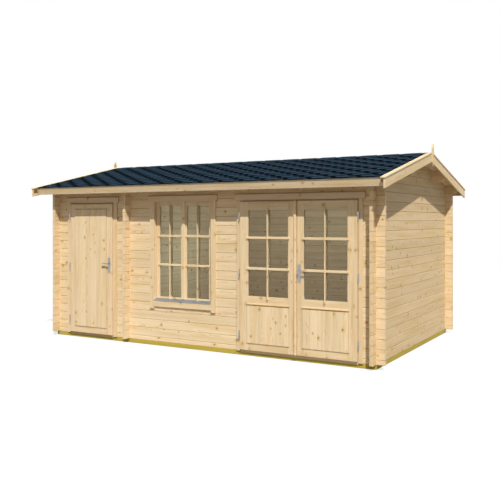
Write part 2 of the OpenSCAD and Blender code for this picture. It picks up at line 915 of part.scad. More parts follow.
// Boarded panel with V grooves, between two edges of a leaf frame and lapped over its stiles
module boarded_panel(x0, x1, z0, z1, lap) {
    a = x0 - lap;
    b = x1 + lap;
    boards = round((b - a) / panel_board);
    pitch = (b - a) / boards;
    y0 = leaf_face - panel_proud;
    y1 = leaf_face - seat;
    y2 = y0 + panel_t;
    g = panel_groove;
    face = [
        for (i = [1 : boards - 1])
            each [[a + i * pitch - g, y0], [a + i * pitch, y0 + g], [a + i * pitch + g, y0]]
    ];
    back = lap > 0 ? [[b, y1], [x1, y1], [x1, y2], [x0, y2], [x0, y1], [a, y1]] : [[b, y2], [a, y2]];
    translate([0, 0, z0])
        linear_extrude(z1 - z0)
            polygon(concat([[a, y0]], face, [[b, y0]], back));
}

// Bore for the spindle of a lever
module spindle_bore(x) {
    translate([x, leaf_face - over, base_h + lever_z])
        rotate([-90, 0, 0])
            cylinder(r = spindle_r + seat, h = leaf_t + 2 * over);
}

// Handle plates with round ends on both faces of a leaf
module handle_plates(x) {
    mid = base_h + lever_z - lever_offset;
    half = plate_len / 2 - plate_w / 2;
    for (y = [leaf_face - plate_t - seat / 2, leaf_back + seat / 2])
        difference() {
            union() {
                block([x - plate_w / 2, y, mid - half], [x + plate_w / 2, y + plate_t, mid + half]);
                for (z = [mid - half, mid + half])
                    translate([x, y, z])
                        rotate([-90, 0, 0])
                            cylinder(r = plate_w / 2, h = plate_t);
            }
            spindle_bore(x);
        }
}

// Spindle through the leaf with a lever arm at each end; side is the way the arms point
module lever(x, side) {
    z = base_h + lever_z;
    y_out = leaf_face - plate_t - lever_reach;
    y_in = leaf_back + plate_t + lever_reach;
    translate([x, y_out, z])
        rotate([-90, 0, 0])
            cylinder(r = spindle_r, h = y_in - y_out);
    for (y = [y_out - seat - lever_r, y_in + seat + lever_r]) {
        x0 = x - side * spindle_r;
        translate([x0, y, z])
            rotate([0, side * 90, 0])
                cylinder(r = lever_r, h = lever_len);
        for (end = [x0, x0 + side * lever_len])
            translate([end, y, z])
                sphere(r = lever_r);
    }
}

single_lever_x = single_end - lever_in;
left_start = double_start;
left_end = double_x + meeting_shift - meeting_gap / 2;
right_start = double_x + meeting_shift + meeting_gap / 2;
right_end = double_end;
double_lever_x = right_start + double_lever_in;
// Edges of the panes and panels in the two leaves
left_bay = [left_start + double_stile, double_x - meeting_stile];
right_bay = [double_x + meeting_stile, right_end - double_stile];
glazed_rails = [
    [0, bottom_rail],
    [middle_rail_top - middle_rail, middle_rail_top],
    [leaf_h - double_top_rail, leaf_h]
];

// Weather strip with a sloped top, planted on the middle rail over the lower panel
module drip_strip(bay) {
    z0 = leaf_z + middle_rail_top - middle_rail + seat;
    y1 = leaf_face - seat;
    along_x(bay[0] - panel_lap, bay[1] + panel_lap)
        polygon([
            [y1, z0], [leaf_face - drip_strip_d, z0],
            [leaf_face - drip_strip_d, z0 + drip_strip_nose], [y1, z0 + drip_strip_h]
        ]);
}

// Lower panel and pane of one leaf of the double door
module glazed_panel(bay)
    boarded_panel(
        bay[0] + seat, bay[1] - seat,
        leaf_z + bottom_rail + seat, leaf_z + middle_rail_top - middle_rail - seat, panel_lap
    );

module glazed_pane(bay) {
    y = leaf_face + pane_in;
    block(
        [bay[0] + seat, y, leaf_z + middle_rail_top + seat],
        [bay[1] - seat, y + pane_t, leaf_top - double_top_rail - seat]
    );
}

module single_door_leaf() color(pale_wood)
    difference() {
        leaf_frame(
            single_x, single_end, single_stile, single_stile,
            [[0, bottom_rail], [leaf_h - single_top_rail, leaf_h]]
        );
        spindle_bore(single_lever_x);
    }

module single_door_panel() color(pale_wood)
    boarded_panel(
        single_x + single_stile + seat, single_end - single_stile - seat,
        leaf_z + bottom_rail + seat, leaf_top - single_top_rail - seat, 0
    );

module single_door_hinges() color(steel) leaf_hinges(single_x, -1);
module single_door_plates() color(steel) handle_plates(single_lever_x);
module single_door_lever() color(steel) lever(single_lever_x, -1);

module left_leaf() color(pale_wood) {
    leaf_frame(left_start, left_end, double_stile, left_end - left_bay[1], glazed_rails);
    drip_strip(left_bay);
    cover_strip(left_end - cover_strip_w, left_end, leaf_face, leaf_z, leaf_top);
}

module left_leaf_panel() color(pale_wood) glazed_panel(left_bay);
module left_leaf_glass() color(pane) glazed_pane(left_bay);
module left_leaf_hinges() color(steel) leaf_hinges(left_start, -1);

module right_leaf() color(pale_wood) {
    difference() {
        leaf_frame(right_start, right_end, right_bay[0] - right_start, double_stile, glazed_rails);
        spindle_bore(double_lever_x);
    }
    drip_strip(right_bay);
}

module right_leaf_panel() color(pale_wood) glazed_panel(right_bay);
module right_leaf_glass() color(pane) glazed_pane(right_bay);
module right_leaf_hinges() color(steel) leaf_hinges(right_end, 1);
module right_leaf_plates() color(steel) handle_plates(double_lever_x);
module right_leaf_lever() color(steel) lever(double_lever_x, 1);

base_beams();
floor_boards();
front_wall_left_pier();
front_wall_sill_logs();
front_wall_store_pier();
front_wall_window_pier();
front_wall_right_pier();
front_wall_head_logs();
rear_wall();
left_wall();
right_wall();
partition_wall();
purlins();
roof_boards_front();
roof_boards_rear();
shingles_front();
shingles_rear();
ridge_cap();
fascia_boards();
gable_battens();
barge_boards_left();
barge_boards_right();
finials();
single_door_frame();
single_door_trim();
double_door_frame();
double_door_trim();
window_frame();
window_trim();
window_flashing();
window_sashes();
window_glass();
hinge_pins();
single_door_leaf();
single_door_panel();
single_door_hinges();
single_door_plates();
single_door_lever();
left_leaf();
left_leaf_panel();
left_leaf_glass();
left_leaf_hinges();
right_leaf();
right_leaf_panel();
right_leaf_glass();
right_leaf_hinges();
right_leaf_plates();
right_leaf_lever();
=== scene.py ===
# %% [markdown]
# A garden log cabin, dressed for its picture.
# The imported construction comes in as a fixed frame, in metres: the origin is on the ground under the middle
# of the roof, +X runs to the right along the front, -Y faces the front and +Z points up.
# Each step below adds one finish or one small kind of piece, and says how the real one is made.

# %% Load the frame
import json
import math

import bmesh
import bpy
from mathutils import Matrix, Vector


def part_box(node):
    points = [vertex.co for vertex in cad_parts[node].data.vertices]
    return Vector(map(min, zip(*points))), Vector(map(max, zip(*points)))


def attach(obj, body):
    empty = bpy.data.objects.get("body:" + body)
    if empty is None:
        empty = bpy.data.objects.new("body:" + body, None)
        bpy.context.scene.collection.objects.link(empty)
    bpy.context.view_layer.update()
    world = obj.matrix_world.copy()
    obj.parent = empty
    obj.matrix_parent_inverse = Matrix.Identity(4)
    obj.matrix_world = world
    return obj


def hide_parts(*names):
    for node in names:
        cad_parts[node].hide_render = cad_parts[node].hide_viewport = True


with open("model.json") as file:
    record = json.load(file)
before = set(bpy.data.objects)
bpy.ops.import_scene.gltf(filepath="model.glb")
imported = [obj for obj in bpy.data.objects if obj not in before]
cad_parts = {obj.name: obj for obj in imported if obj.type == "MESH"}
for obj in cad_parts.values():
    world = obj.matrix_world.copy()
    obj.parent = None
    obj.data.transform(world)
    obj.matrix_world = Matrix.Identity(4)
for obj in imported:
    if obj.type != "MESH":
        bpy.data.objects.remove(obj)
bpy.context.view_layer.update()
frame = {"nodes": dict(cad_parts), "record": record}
nodes = frame["nodes"]
body_of = {n: b for b, names in frame["record"]["behaviour"]["bodies"].items() for n in names}

# %% [markdown]
# Both kinds of node tree, for shading and for geometry, are built with the same few helpers.
# `wire` adds a node and fills its sockets: a socket is linked, and any other value becomes the default.
# Keeping the trees in code means that every number in them can be read and changed here.

# %% Helpers for node trees


def wire(tree, kind, sockets=None, **settings):
    """Adds a node to a tree; sockets are filled by name or by number."""
    made = tree.nodes.new(kind)
    for key, value in settings.items():
        setattr(made, key, value)
    for key, value in (sockets or {}).items():
        if isinstance(value, bpy.types.NodeSocket):
            tree.links.new(value, made.inputs[key])
        else:
            made.inputs[key].default_value = value
    return made


def calc(tree, operation, *values):
    """One Math node, as its output socket."""
    return wire(tree, "ShaderNodeMath", dict(enumerate(values)), operation=operation).outputs[0]


def shorthand(operation):
    """A function for the Math nodes of one kind."""
    return lambda tree, *values: calc(tree, operation, *values)


plus, minus, times, over, times_plus = [
    shorthand(operation) for operation in ("ADD", "SUBTRACT", "MULTIPLY", "DIVIDE", "MULTIPLY_ADD")]

# %% [markdown]
# The camera stands where the photographer stood: in front of the right half, at eye height, with a 50 mm
# lens. It looks level and keeps the uprights upright, and a small shift lowers the frame instead of a tilt.
# A constraint could aim it at the cabin, but a fixed place and turn keep every corner where it was solved.

# %% Camera


def add_object(name, data):
    """A new object in the scene."""
    made = bpy.data.objects.new(name, data)
    bpy.context.scene.collection.objects.link(made)
    return made


camera_data = bpy.data.cameras.new("Camera")
camera_data.lens = 50
camera_data.sensor_width = 36
camera_data.shift_y = -0.0587
camera_data.clip_end = 200
camera = add_object("Camera", camera_data)
camera.location = (5.080, -8.858, 1.656)
camera.rotation_euler = (math.radians(90), 0, math.radians(30.116))
bpy.context.scene.camera = camera
print("camera at", tuple(round(v, 3) for v in camera.location))

# %% [markdown]
# One sun gives the crisp shadow of the eaves on the front wall. An even white sky and a weak, wide lamp on
# the left fill the shade.
# Together they light the front wall to about one, so that a colour shows as it is written. A sky texture
# could do both, but plain lamps keep the direction and the strength of each light apart.

# %% Sun and fill
TO_SUN = Vector((0.816, -1.0, 1.694))
TO_FILL = Vector((-0.5, -0.85, 0.2))
SUN_STRENGTH = 3.93
FILL_STRENGTH = 0.28

for name, energy, angle, toward in [
        ("Sun", SUN_STRENGTH, 0.9, TO_SUN), ("Fill", FILL_STRENGTH, 100, TO_FILL)]:
    lamp_data = bpy.data.lights.new(name, "SUN")
    lamp_data.energy = energy
    lamp_data.angle = math.radians(angle)
    lamp = add_object(name, lamp_data)
    lamp.rotation_euler = toward.to_track_quat("Z", "Y").to_euler()
bpy.context.scene.view_settings.view_transform = "Standard"
print("sun", SUN_STRENGTH, "fill", FILL_STRENGTH)

# %% [markdown]
# The sky is white to the camera, and white where glass and metal show it, but it throws only a little light
# on the cabin. The Light Path node tells these two uses apart. A picture of a sky would bring its own
# colours into the panes, so the sky is one plain white.

# %% White sky
WHITE = (1, 1, 1, 1)
SKY_STRENGTH = 0.25


def seen_rays(tree):
    """One for rays that show a surface, straight, through glass or mirrored, and zero for light thrown on."""
    path = tree.nodes.new("ShaderNodeLightPath").outputs
    seen = calc(tree, "MAXIMUM", path["Is Camera Ray"], path["Is Transmission Ray"])
    return calc(tree, "MAXIMUM", seen, path["Is Glossy Ray"])


world = bpy.data.worlds.new("Sky")
bpy.context.scene.world = world
world.use_nodes = True
sky = world.node_tree
sky.nodes.clear()
strength = times_plus(sky, seen_rays(sky), 1 - SKY_STRENGTH, SKY_STRENGTH)
background = wire(sky, "ShaderNodeBackground", {"Color": WHITE, "Strength": strength})
wire(sky, "ShaderNodeOutputWorld", {"Surface": background.outputs[0]})
print("sky", SKY_STRENGTH)

# %% [markdown]
# The floor has to look as white as the sky and still take the cabin's shadow. A white surface would throw
# too much light up under the eaves, so it is a dim one, and a glow is added only for the rays that show it.

# %% Pale floor
FLOOR_TONE = 0.25
FLOOR_LIFT = 0.72
FLOOR_HALF = 16.4


def new_material(name):
    """An empty node material and its tree."""
    made = bpy.data.materials.new(name)
    made.use_nodes = True
    made.node_tree.nodes.clear()
    return made, made.node_tree


floor_material, tree = new_material("pale_floor")
glow = times(tree, seen_rays(tree), FLOOR_LIFT)
plain = wire(tree, "ShaderNodeBsdfDiffuse", {"Color": (FLOOR_TONE, FLOOR_TONE, FLOOR_TONE, 1)})
lift = wire(tree, "ShaderNodeEmission", {"Color": WHITE, "Strength": glow})
both = wire(tree, "ShaderNodeAddShader", {0: plain.outputs[0], 1: lift.outputs[0]})
wire(tree, "ShaderNodeOutputMaterial", {"Surface": both.outputs[0]})

floor_mesh = bpy.data.meshes.new("floor")
corners = [(-1, -1), (1, -1), (1, 1), (-1, 1)]
floor_mesh.from_pydata([(x * FLOOR_HALF, y * FLOOR_HALF, 0) for x, y in corners], [], [(0, 1, 2, 3)])
floor_mesh.materials.append(floor_material)
floor = add_object("floor", floor_mesh)
print("floor", FLOOR_TONE)

# %% [markdown]
# A few more helpers serve the finishes: vectors put together and taken apart, a node group with its sockets,
# noise that can be drawn out along an axis, a blend of two colours by a mask, and a ramp that turns a
# distance into a mask.

# %% Helpers for finishes


def vector(tree, x, y, z):
    """Three numbers or sockets joined to a vector."""
    return wire(tree, "ShaderNodeCombineXYZ", {0: x, 1: y, 2: z}).outputs[0]


def split(tree, value):
    """The three parts of a vector or a colour, as output sockets."""
    return wire(tree, "ShaderNodeSeparateXYZ", {0: value}).outputs


def new_group(name, kind, inputs, outputs):
    """A node group with named sockets, given as (name, kind, default)."""
    tree = bpy.data.node_groups.new(name, kind)
    for label, socket_kind, default in inputs:
        socket = tree.interface.new_socket(name=label, in_out="INPUT", socket_type="NodeSocket" + socket_kind)
        if default is not None:
            socket.default_value = default
    for label, socket_kind in outputs:
        tree.interface.new_socket(name=label, in_out="OUTPUT", socket_type="NodeSocket" + socket_kind)
    return tree, tree.nodes.new("NodeGroupInput"), tree.nodes.new("NodeGroupOutput")


def noise(tree, place, stretch=None, **sockets):
    """Noise at a place, which is first scaled along each axis if a stretch is given."""
    if stretch:
        place = wire(tree, "ShaderNodeVectorMath", {0: place, 1: stretch}, operation="MULTIPLY").outputs[0]
    return wire(tree, "ShaderNodeTexNoise", {"Vector": place, **sockets}).outputs[0]


def blend(tree, factor, first, second, **settings):
    """A Mix node for colours, as its output socket."""
    return wire(tree, "ShaderNodeMix", {"Factor": factor, 6: first, 7: second},
                data_type="RGBA", **settings).outputs[2]


def ramp(tree, value, start, end, level=1.0, **settings):
    """Zero at the start and the level at the end, as an output socket."""
    sockets = {0: value, 1: start, 2: end, 3: 0.0, 4: level}
    return wire(tree, "ShaderNodeMapRange", sockets, **settings).outputs[0]


# %% [markdown]
# Knots are branches that run straight out from the pith, the middle of the stem, so they widen as they go.
# Spots could be painted on each face, but a knot has to come out at both sides of a corner. So a pattern of
# cells is laid along the pith and round it, and few of its cells are kept. Each kept one has a dark core,
# and a halo that bends the rings beside it.

# %% Knots of spruce
KNOTS_OFF = 0.84
KNOT_CORE, KNOT_HALO = (1.0, 0.62), (3.0, 0.8)
KNOT_GIRTH = (0.09, 0.06)


def branch_knots(tree, board, x, round_it):
    """Masks of a knot's core and halo, by the place along the pith and the angle round it."""
    spots = vector(tree, times_plus(tree, board, 3.17, times(tree, x, 8.0)),
                   times_plus(tree, board, 1.37, times(tree, round_it, 1.25)), 0.0)
    knots = wire(tree, "ShaderNodeTexVoronoi", {"Vector": spots, "Scale": 1.0},
                 feature="F1", voronoi_dimensions="2D").outputs
    pick, girth, _ = split(tree, knots["Color"])
    kept = calc(tree, "GREATER_THAN", pick, KNOTS_OFF)
    near = over(tree, knots["Distance"], times_plus(tree, girth, *KNOT_GIRTH))
    return [times(tree, ramp(tree, near, *edges, interpolation_type="SMOOTHSTEP"), kept)
            for edges in (KNOT_CORE, KNOT_HALO)]


print("knots kept:", round(100 * (1 - KNOTS_OFF)), "in 100 cells")

# %% [markdown]
# Each year the tree adds a ring of pale early wood that ends in a thin tan band of late wood. The distance
# from the pith makes the rings, so faces show long flames and ends show arcs, as sawn wood does. Blender's
# own wave texture makes rings too, but this distance can also wander along the board and bend round a knot.

# %% Rings of spruce
RING = 0.0034
LATE_POWER = 2.2
DRIFT_STRETCH = (0.9, 5.0, 5.0)
WANDER, KNOT_BEND = 0.055, 0.007


def growth_rings(tree, place, off_y, off_z, halo):
    """The share of late wood, in rings round a pith that wanders along the board."""
    drift = noise(tree, place, DRIFT_STRETCH, Scale=1.0, Detail=3.0, Roughness=0.55)
    off = vector(tree, 0.0, off_y, off_z)
    across = wire(tree, "ShaderNodeVectorMath", {0: off}, operation="LENGTH").outputs["Value"]
    across = times_plus(tree, drift, WANDER, across)
    across = times_plus(tree, halo, KNOT_BEND, across)
    return calc(tree, "POWER", calc(tree, "FRACT", over(tree, across, RING)), LATE_POWER)


print("rings:", round(0.1 / RING), "in 100 mm")

# %% [markdown]
# Every board here is planed spruce, so one group serves all the finishes: it takes a place along the grain
# and a board's number, and gives colour, roughness and height. The number moves the pith and the knots, so
# that no two boards match. A flat picture of wood would be simpler, but it wouldn't agree at the corners of
# a board.

# %% Spruce, as a shader group
PITH_DEEP, PITH_ASIDE = (0.08, 0.06), (0.18, -0.09)
FIBRE_STRETCH = (6.0, 420.0, 420.0)
SLOW_STRETCH = (1.3, 22.0, 22.0)


def spruce_group():
    """Colour, roughness and height of planed softwood, by a position along the grain and a board number."""
    tree, given, result = new_group(
        "spruce", "ShaderNodeTree",
        [("Along", "Vector", None), ("Board", "Float", 0.0),
         ("Early wood", "Color", (0.88, 0.685, 0.440, 1)), ("Late wood", "Color", (0.64, 0.405, 0.105, 1)),
         ("Knot", "Color", (0.45, 0.165, 0.032, 1)), ("Spread", "Float", 0.10)],
        [("Color", "Color"), ("Roughness", "Float"), ("Height", "Float")],
    )
    take = given.outputs
    board = take["Board"]
    chance = wire(tree, "ShaderNodeTexWhiteNoise", {"W": board}, noise_dimensions="1D")
    chance_1, chance_2, chance_3 = split(tree, chance.outputs["Color"])
    start = vector(tree, times(tree, board, 7.31), 0.0, 0.0)
    place = wire(tree, "ShaderNodeVectorMath", {0: take["Along"], 1: start}, operation="ADD").outputs[0]
    x, y, z = split(tree, take["Along"])

    # Where the pith lies, and how far off it a place is
    pith_y = times_plus(tree, chance_1, *PITH_DEEP)
    pith_z = times_plus(tree, chance_2, *PITH_ASIDE)
    off_y = minus(tree, y, pith_y)
    off_z = minus(tree, z, pith_z)
    core, halo = branch_knots(tree, board, x, calc(tree, "ARCTAN2", off_z, off_y))
    late = growth_rings(tree, place, off_y, off_z, halo)

    # Fine fibres and slow changes of tone
    fibre = noise(tree, place, FIBRE_STRETCH, Scale=1.0, Detail=2.0)
    slow = noise(tree, place, SLOW_STRETCH, Scale=1.0, Detail=3.0)
    amount = times_plus(tree, late, 0.46, times_plus(tree, fibre, 0.60, -0.25))
    amount = plus(tree, amount, times_plus(tree, slow, 1.3, -0.66))
    wood = blend(tree, amount, take["Early wood"], take["Late wood"], clamp_factor=True)
    wood = blend(tree, times(tree, halo, 0.5), wood, take["Late wood"])
    wood = blend(tree, times(tree, core, 0.78), wood, take["Knot"])
    bright = times_plus(tree, chance_3, take["Spread"], times_plus(tree, take["Spread"], -0.5, 1.0))
    hue = times_plus(tree, chance_1, 0.005, 0.4975)
    toned = wire(tree, "ShaderNodeHueSaturation", {"Hue": hue, "Value": bright, "Color": wood})
    height = times_plus(tree, late, 0.5, times(tree, fibre, 0.5))
    rough = times_plus(tree, late, -0.10, times_plus(tree, fibre, 0.18, 0.52))
    rough = times_plus(tree, core, -0.12, rough)
    for label, value in [("Color", toned.outputs[0]), ("Roughness", rough), ("Height", height)]:
        tree.links.new(value, result.inputs[label])
    return tree


SPRUCE = spruce_group()
print("spruce group:", len(SPRUCE.nodes), "nodes")

# %% [markdown]
# A wood finish is the group plus one shader. Masks darken it: a thin line of dust and shade where boards
# meet, painted shadow lines along some top edges and panel sides, and painted shade on the drip strips,
# whose sloped tops catch more sun. Each finish has to know where the grain runs: a wall of logs counts its
# courses by height, a boarded panel counts its boards by width, and a loose board carries its own grain on
# its mesh. One material with a switch could do all three, but three short ones are easier to read.

# %% Wood finishes


def end_material(tree, sockets):
    """Ends a material with one shader."""
    shader = wire(tree, "ShaderNodeBsdfPrincipled", sockets)
    wire(tree, "ShaderNodeOutputMaterial", {"Surface": shader.outputs[0]})


def finish_wood(tree, along, board, colours=None, spread=0.10, shades=()):
    """Ends a material with the spruce group and a shader; each shade darkens it by a mask."""
    own = {label: (*colour, 1) for label, colour in (colours or {}).items()}
    wood = wire(tree, "ShaderNodeGroup", {"Along": along, "Board": board, "Spread": spread, **own},
                node_tree=SPRUCE).outputs
    colour = wood["Color"]
    for mask, shade in shades:
        colour = blend(tree, mask, colour, shade, blend_type="MULTIPLY")
    bump = wire(tree, "ShaderNodeBump", {"Height": wood["Height"], "Strength": 0.35, "Distance": 0.0006})
    end_material(tree, {"Base Color": colour, "Roughness": wood["Roughness"], "Normal": bump.outputs[0],
                        "Specular IOR Level": 0.10})


def numbered(tree, count, size):
    """From a running count of boards: a board's number, the way off its middle, and that way as a share."""
    number = calc(tree, "FLOOR", count)
    aside = minus(tree, minus(tree, count, number), 0.5)
    return number, times(tree, aside, size), calc(tree, "ABSOLUTE", aside)


# %% [markdown]
# A log wall is a stack of planed logs, each with its own grain. The wall is one node of the frame, so the
# finish finds the log from the height: the whole part of a count is the log, and the rest lies across it.
# A thin darker line lies where two logs meet, because their chamfers hold dust and shade.

# %% Finish of a wall of logs
COURSE = 0.114
BASE = 0.055
BOARD_STEP = 1.37
LOG_JOINT = (0.470, 0.490)
JOINT_SHADE = (0.62, 0.60, 0.34, 1)


def object_place(tree):
    """Object coordinates, which stay with the piece when it moves."""
    return tree.nodes.new("ShaderNodeTexCoord").outputs["Object"]


def log_wall_finish(name, along_x, wall, shift, seed, colours=None):
    """Wood of a wall of logs; wall is where its middle plane lies and shift the part course at its foot."""
    made, tree = new_material(name)
    x, y, z = split(tree, object_place(tree))
    count = plus(tree, over(tree, minus(tree, z, BASE), COURSE), shift)
    course, up, edge = numbered(tree, count, COURSE)
    grain, through = (x, y) if along_x else (y, x)
    along = vector(tree, grain, minus(tree, through, wall), up)
    joint = ramp(tree, edge, *LOG_JOINT)
    finish_wood(tree, along, times_plus(tree, course, BOARD_STEP, seed), colours,
                shades=[(joint, JOINT_SHADE)])
    return made


print("joint line:", round(2 * (0.5 - LOG_JOINT[0]) * COURSE, 4), "m at each course")

# %% [markdown]
# The log walls keep their solid shape from the frame: tongue, groove, chamfers and corner notches are there.
# Front and rear logs lie half a course lower than the side logs, so each wall counts its courses its own way.
# Two walls have a tint of their own: the logs under the window are paler, and the right wall is tinted darker
# and warmer as painted shade, for how the light falls on that side.

# %% Log walls
PALE = {"Early wood": (0.93, 0.725, 0.468)}
# Painted shade: the right wall is tinted darker and warmer for how the light falls on that side.
SIDE_SHADE_TINT = {"Early wood": (0.826, 0.628, 0.381)}
WALL_TINTS = {"front_wall_sill_logs": PALE, "right_wall": SIDE_SHADE_TINT}


def dress(node, material):
    """Gives a frame node one material in all its slots."""
    mesh = nodes[node].data
    mesh.materials.clear()
    mesh.materials.append(material)


def middle_of(node, axis):
    """Where the middle of a node's box lies along an axis."""
    low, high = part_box(node)
    return (low[axis] + high[axis]) / 2


front_walls = [
    "front_wall_left_pier", "front_wall_sill_logs", "front_wall_store_pier", "front_wall_window_pier",
    "front_wall_right_pier", "front_wall_head_logs", "rear_wall"]
side_walls = ["left_wall", "partition_wall", "right_wall"]
for walls, along_x, shift, first in [(front_walls, True, 0.5, 11.3), (side_walls, False, 0.0, 307.9)]:
    for i, node in enumerate(walls):
        dress(node, log_wall_finish("logs_" + node, along_x, middle_of(node, 1 if along_x else 0), shift,
                                    first + 40 * i, WALL_TINTS.get(node)))
print("log walls dressed:", len(front_walls) + len(side_walls))

# %% [markdown]
# Frames, trims and rails are single boards, each sawn from another place in a tree. A count can't tell them
# apart, so their meshes will carry the grain as attributes, and this finish reads them. A top edge can get a
# painted shadow line, for the shadow gap above a trim's head or between a leaf and the head trim over it. The
# drip strips get painted shade, which tones down their sunlit tops. The doors have a tone of their own, the
# beams under the walls are green from treatment, and the battens in the gable are rough sawn and dark: partly
# their own wood, and partly painted shade for the recess they sit in.

# %% Finish of loose boards
# Painted shadow lines along top edges: how far below the top they lie, how strong they are, and their shade.
TOP_SHADOW_LINE, TOP_SHADOW_DEPTH = (0.013, 0.010), 0.9
SHADOW_LINE_SHADE = (0.50, 0.42, 0.34, 1)
# Painted shade on the drip strips, for their sunlit tops.
DRIP_PAINTED_SHADE = (0.80, 0.76, 0.69, 1)


def attribute(tree, name, kind="Fac"):
    """An attribute of the mesh, as an output socket."""
    return wire(tree, "ShaderNodeAttribute", attribute_name=name).outputs[kind]


def board_finish(name, colours=None, spread=0.10, top=None):
    """Wood of boards with grain and number as attributes; a top, if given, gets a painted shadow line."""
    made, tree = new_material(name)
    # Painted shade on the drip strips, which tones down their sunlit tops.
    shades = [(attribute(tree, "drip_shade"), DRIP_PAINTED_SHADE)]
    # A painted shadow line along the top edge, for the shadow gap there.
    if top is not None:
        height = split(tree, object_place(tree))[2]
        shades.append((ramp(tree, height, top - TOP_SHADOW_LINE[0], top - TOP_SHADOW_LINE[1], TOP_SHADOW_DEPTH), SHADOW_LINE_SHADE))
    finish_wood(tree, attribute(tree, "grain", "Vector"), attribute(tree, "board"), colours, spread, shades)
    return made


trim_wood = board_finish("trim_wood")
door_wood = board_finish("door_wood", spread=0.06)
beam_wood = board_finish("treated_beam", {
    "Early wood": (0.57, 0.43, 0.070), "Late wood": (0.34, 0.25, 0.035), "Knot": (0.16, 0.12, 0.03)})
# The battens are dark, partly as rough sawn wood and partly as painted shade for the recess they sit in.
batten_wood_and_shade = board_finish("sawn_batten", {
    "Early wood": (0.42, 0.29, 0.15), "Late wood": (0.28, 0.17, 0.08), "Knot": (0.16, 0.08, 0.03)})
# The leaves get a painted shadow line along their top, for the shadow gap under the head trim.
leaf_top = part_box("single_door_leaf")[1].z
leaf_wood = board_finish("leaf_wood", {"Early wood": (0.88, 0.675, 0.420), "Late wood": (0.58, 0.34, 0.080)},
                         spread=0.06, top=leaf_top)
print("board finishes made; dark line of the leaves at", round(leaf_top, 3))

# %% [markdown]
# One mesh of the frame can hold many boards, as a door's trim does. They could be split into objects, but
# then each would have to ride and be replaced by itself. So they stay together, and each is found by
# walking along its edges from one corner to the next.

# %% Boards of a mesh


def loose_boards(bm):
    """The separate boards of a mesh, as lists of vertices in a fixed order."""
    seen_verts, boards = set(), []
    for start in bm.verts:
        if start in seen_verts:
            continue
        group, todo = [], [start]
        seen_verts.add(start)
        while todo:
            here = todo.pop()
            group.append(here)
            for edge in here.link_edges:
                other = edge.other_vert(here)
                if other not in seen_verts:
                    seen_verts.add(other)
                    todo.append(other)
        boards.append(group)
    return boards


def reach(group, way):
    """How far a board's vertices spread along a direction."""
    shares = [v.co.dot(way) for v in group]
    return max(shares) - min(shares)


# %% [markdown]
# A board's grain runs along its length, and its longest edge gives that. The place in the grain and a
# number are stored as attributes, which stay with the mesh when it moves. An image map would need every
# board unwrapped. The thin strips that throw the rain off the doors are marked too, so that their finish
# gets painted shade: it tones down their sloped tops, which catch more sun than the panel below.

# %% Grain of loose boards
DRIP_SIZE = 0.042
DRIP_LENGTH = (0.3, 0.8)


def mark_grain(bm, first):
    """Writes grain positions and board numbers for every loose board; returns how many there are."""
    grain = bm.verts.layers.float_vector.new("grain")
    number = bm.verts.layers.float.new("board")
    # Drip strips are marked for painted shade, which tones down their sunlit tops.
    drip_shade = bm.verts.layers.float.new("drip_shade")
    boards = loose_boards(bm)
    for i, group in enumerate(boards):
        edges = {e for v in group for e in v.link_edges}
        longest = max(edges, key=lambda e: (round(e.calc_length(), 5), e.verts[0].co.x, e.verts[0].co.z))
        run = (longest.verts[1].co - longest.verts[0].co).normalized()
        side = run.cross(Vector((0, 0, 1)) if abs(run.z) < 0.7 else Vector((0, 1, 0))).normalized()
        third = run.cross(side)
        if reach(group, side) > reach(group, third):
            side, third = third, side
        middle = sum((v.co for v in group), Vector()) / len(group)
        long, deep, high = [max(v.co[k] for v in group) - min(v.co[k] for v in group) for k in range(3)]
        drip = DRIP_LENGTH[0] < long < DRIP_LENGTH[1] and deep < DRIP_SIZE and high < DRIP_SIZE
        for v in group:
            away = v.co - middle
            v[grain] = Vector((away.dot(run), away.dot(side), away.dot(third)))
            v[number] = first + BOARD_STEP * i
            v[drip_shade] = float(drip)
    return len(boards)


# %% [markdown]
# Boards and mouldings are planed with eased edges, which catch a thin line of light. The sharp solids of
# the frame are copied, merged to whole faces and bevelled by a millimetre or two. A modifier could do that
# too, but the grain has to be marked after the bevel.

# %% Easing a piece
FLAT = math.radians(1)
SHARP = math.radians(40)


def eased(node, material, ease=0.0015, seed=0.0):
    """Replaces a frame node by a copy with eased edges and marked grain."""
    bm = bmesh.new()
    bm.from_mesh(nodes[node].data)
    bmesh.ops.remove_doubles(bm, verts=bm.verts, dist=1e-5)
    bmesh.ops.dissolve_limit(bm, angle_limit=FLAT, verts=bm.verts, edges=bm.edges)
    sharp = [e for e in bm.edges if len(e.link_faces) == 2 and e.calc_face_angle(0) > SHARP]
    bmesh.ops.bevel(bm, geom=sharp, offset=ease, segments=2, profile=0.5, affect="EDGES", clamp_overlap=True)
    count = mark_grain(bm, seed)
    bmesh.ops.recalc_face_normals(bm, faces=bm.faces)
    mesh = bpy.data.meshes.new(node + "_boards")
    bm.to_mesh(mesh)
    bm.free()
    mesh.materials.append(material)
    piece = add_object(node + "_boards", mesh)
    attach(piece, body_of[node])
    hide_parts(node)
    return count


# %% [markdown]
# The boards of the roof's edges, the frames, the trims, the leaves and the beams all go through the same
# easing. Each piece starts at its own board number, so that two boards side by side never show the same
# grain. The treated beams are rougher, so their edges are rounded more.

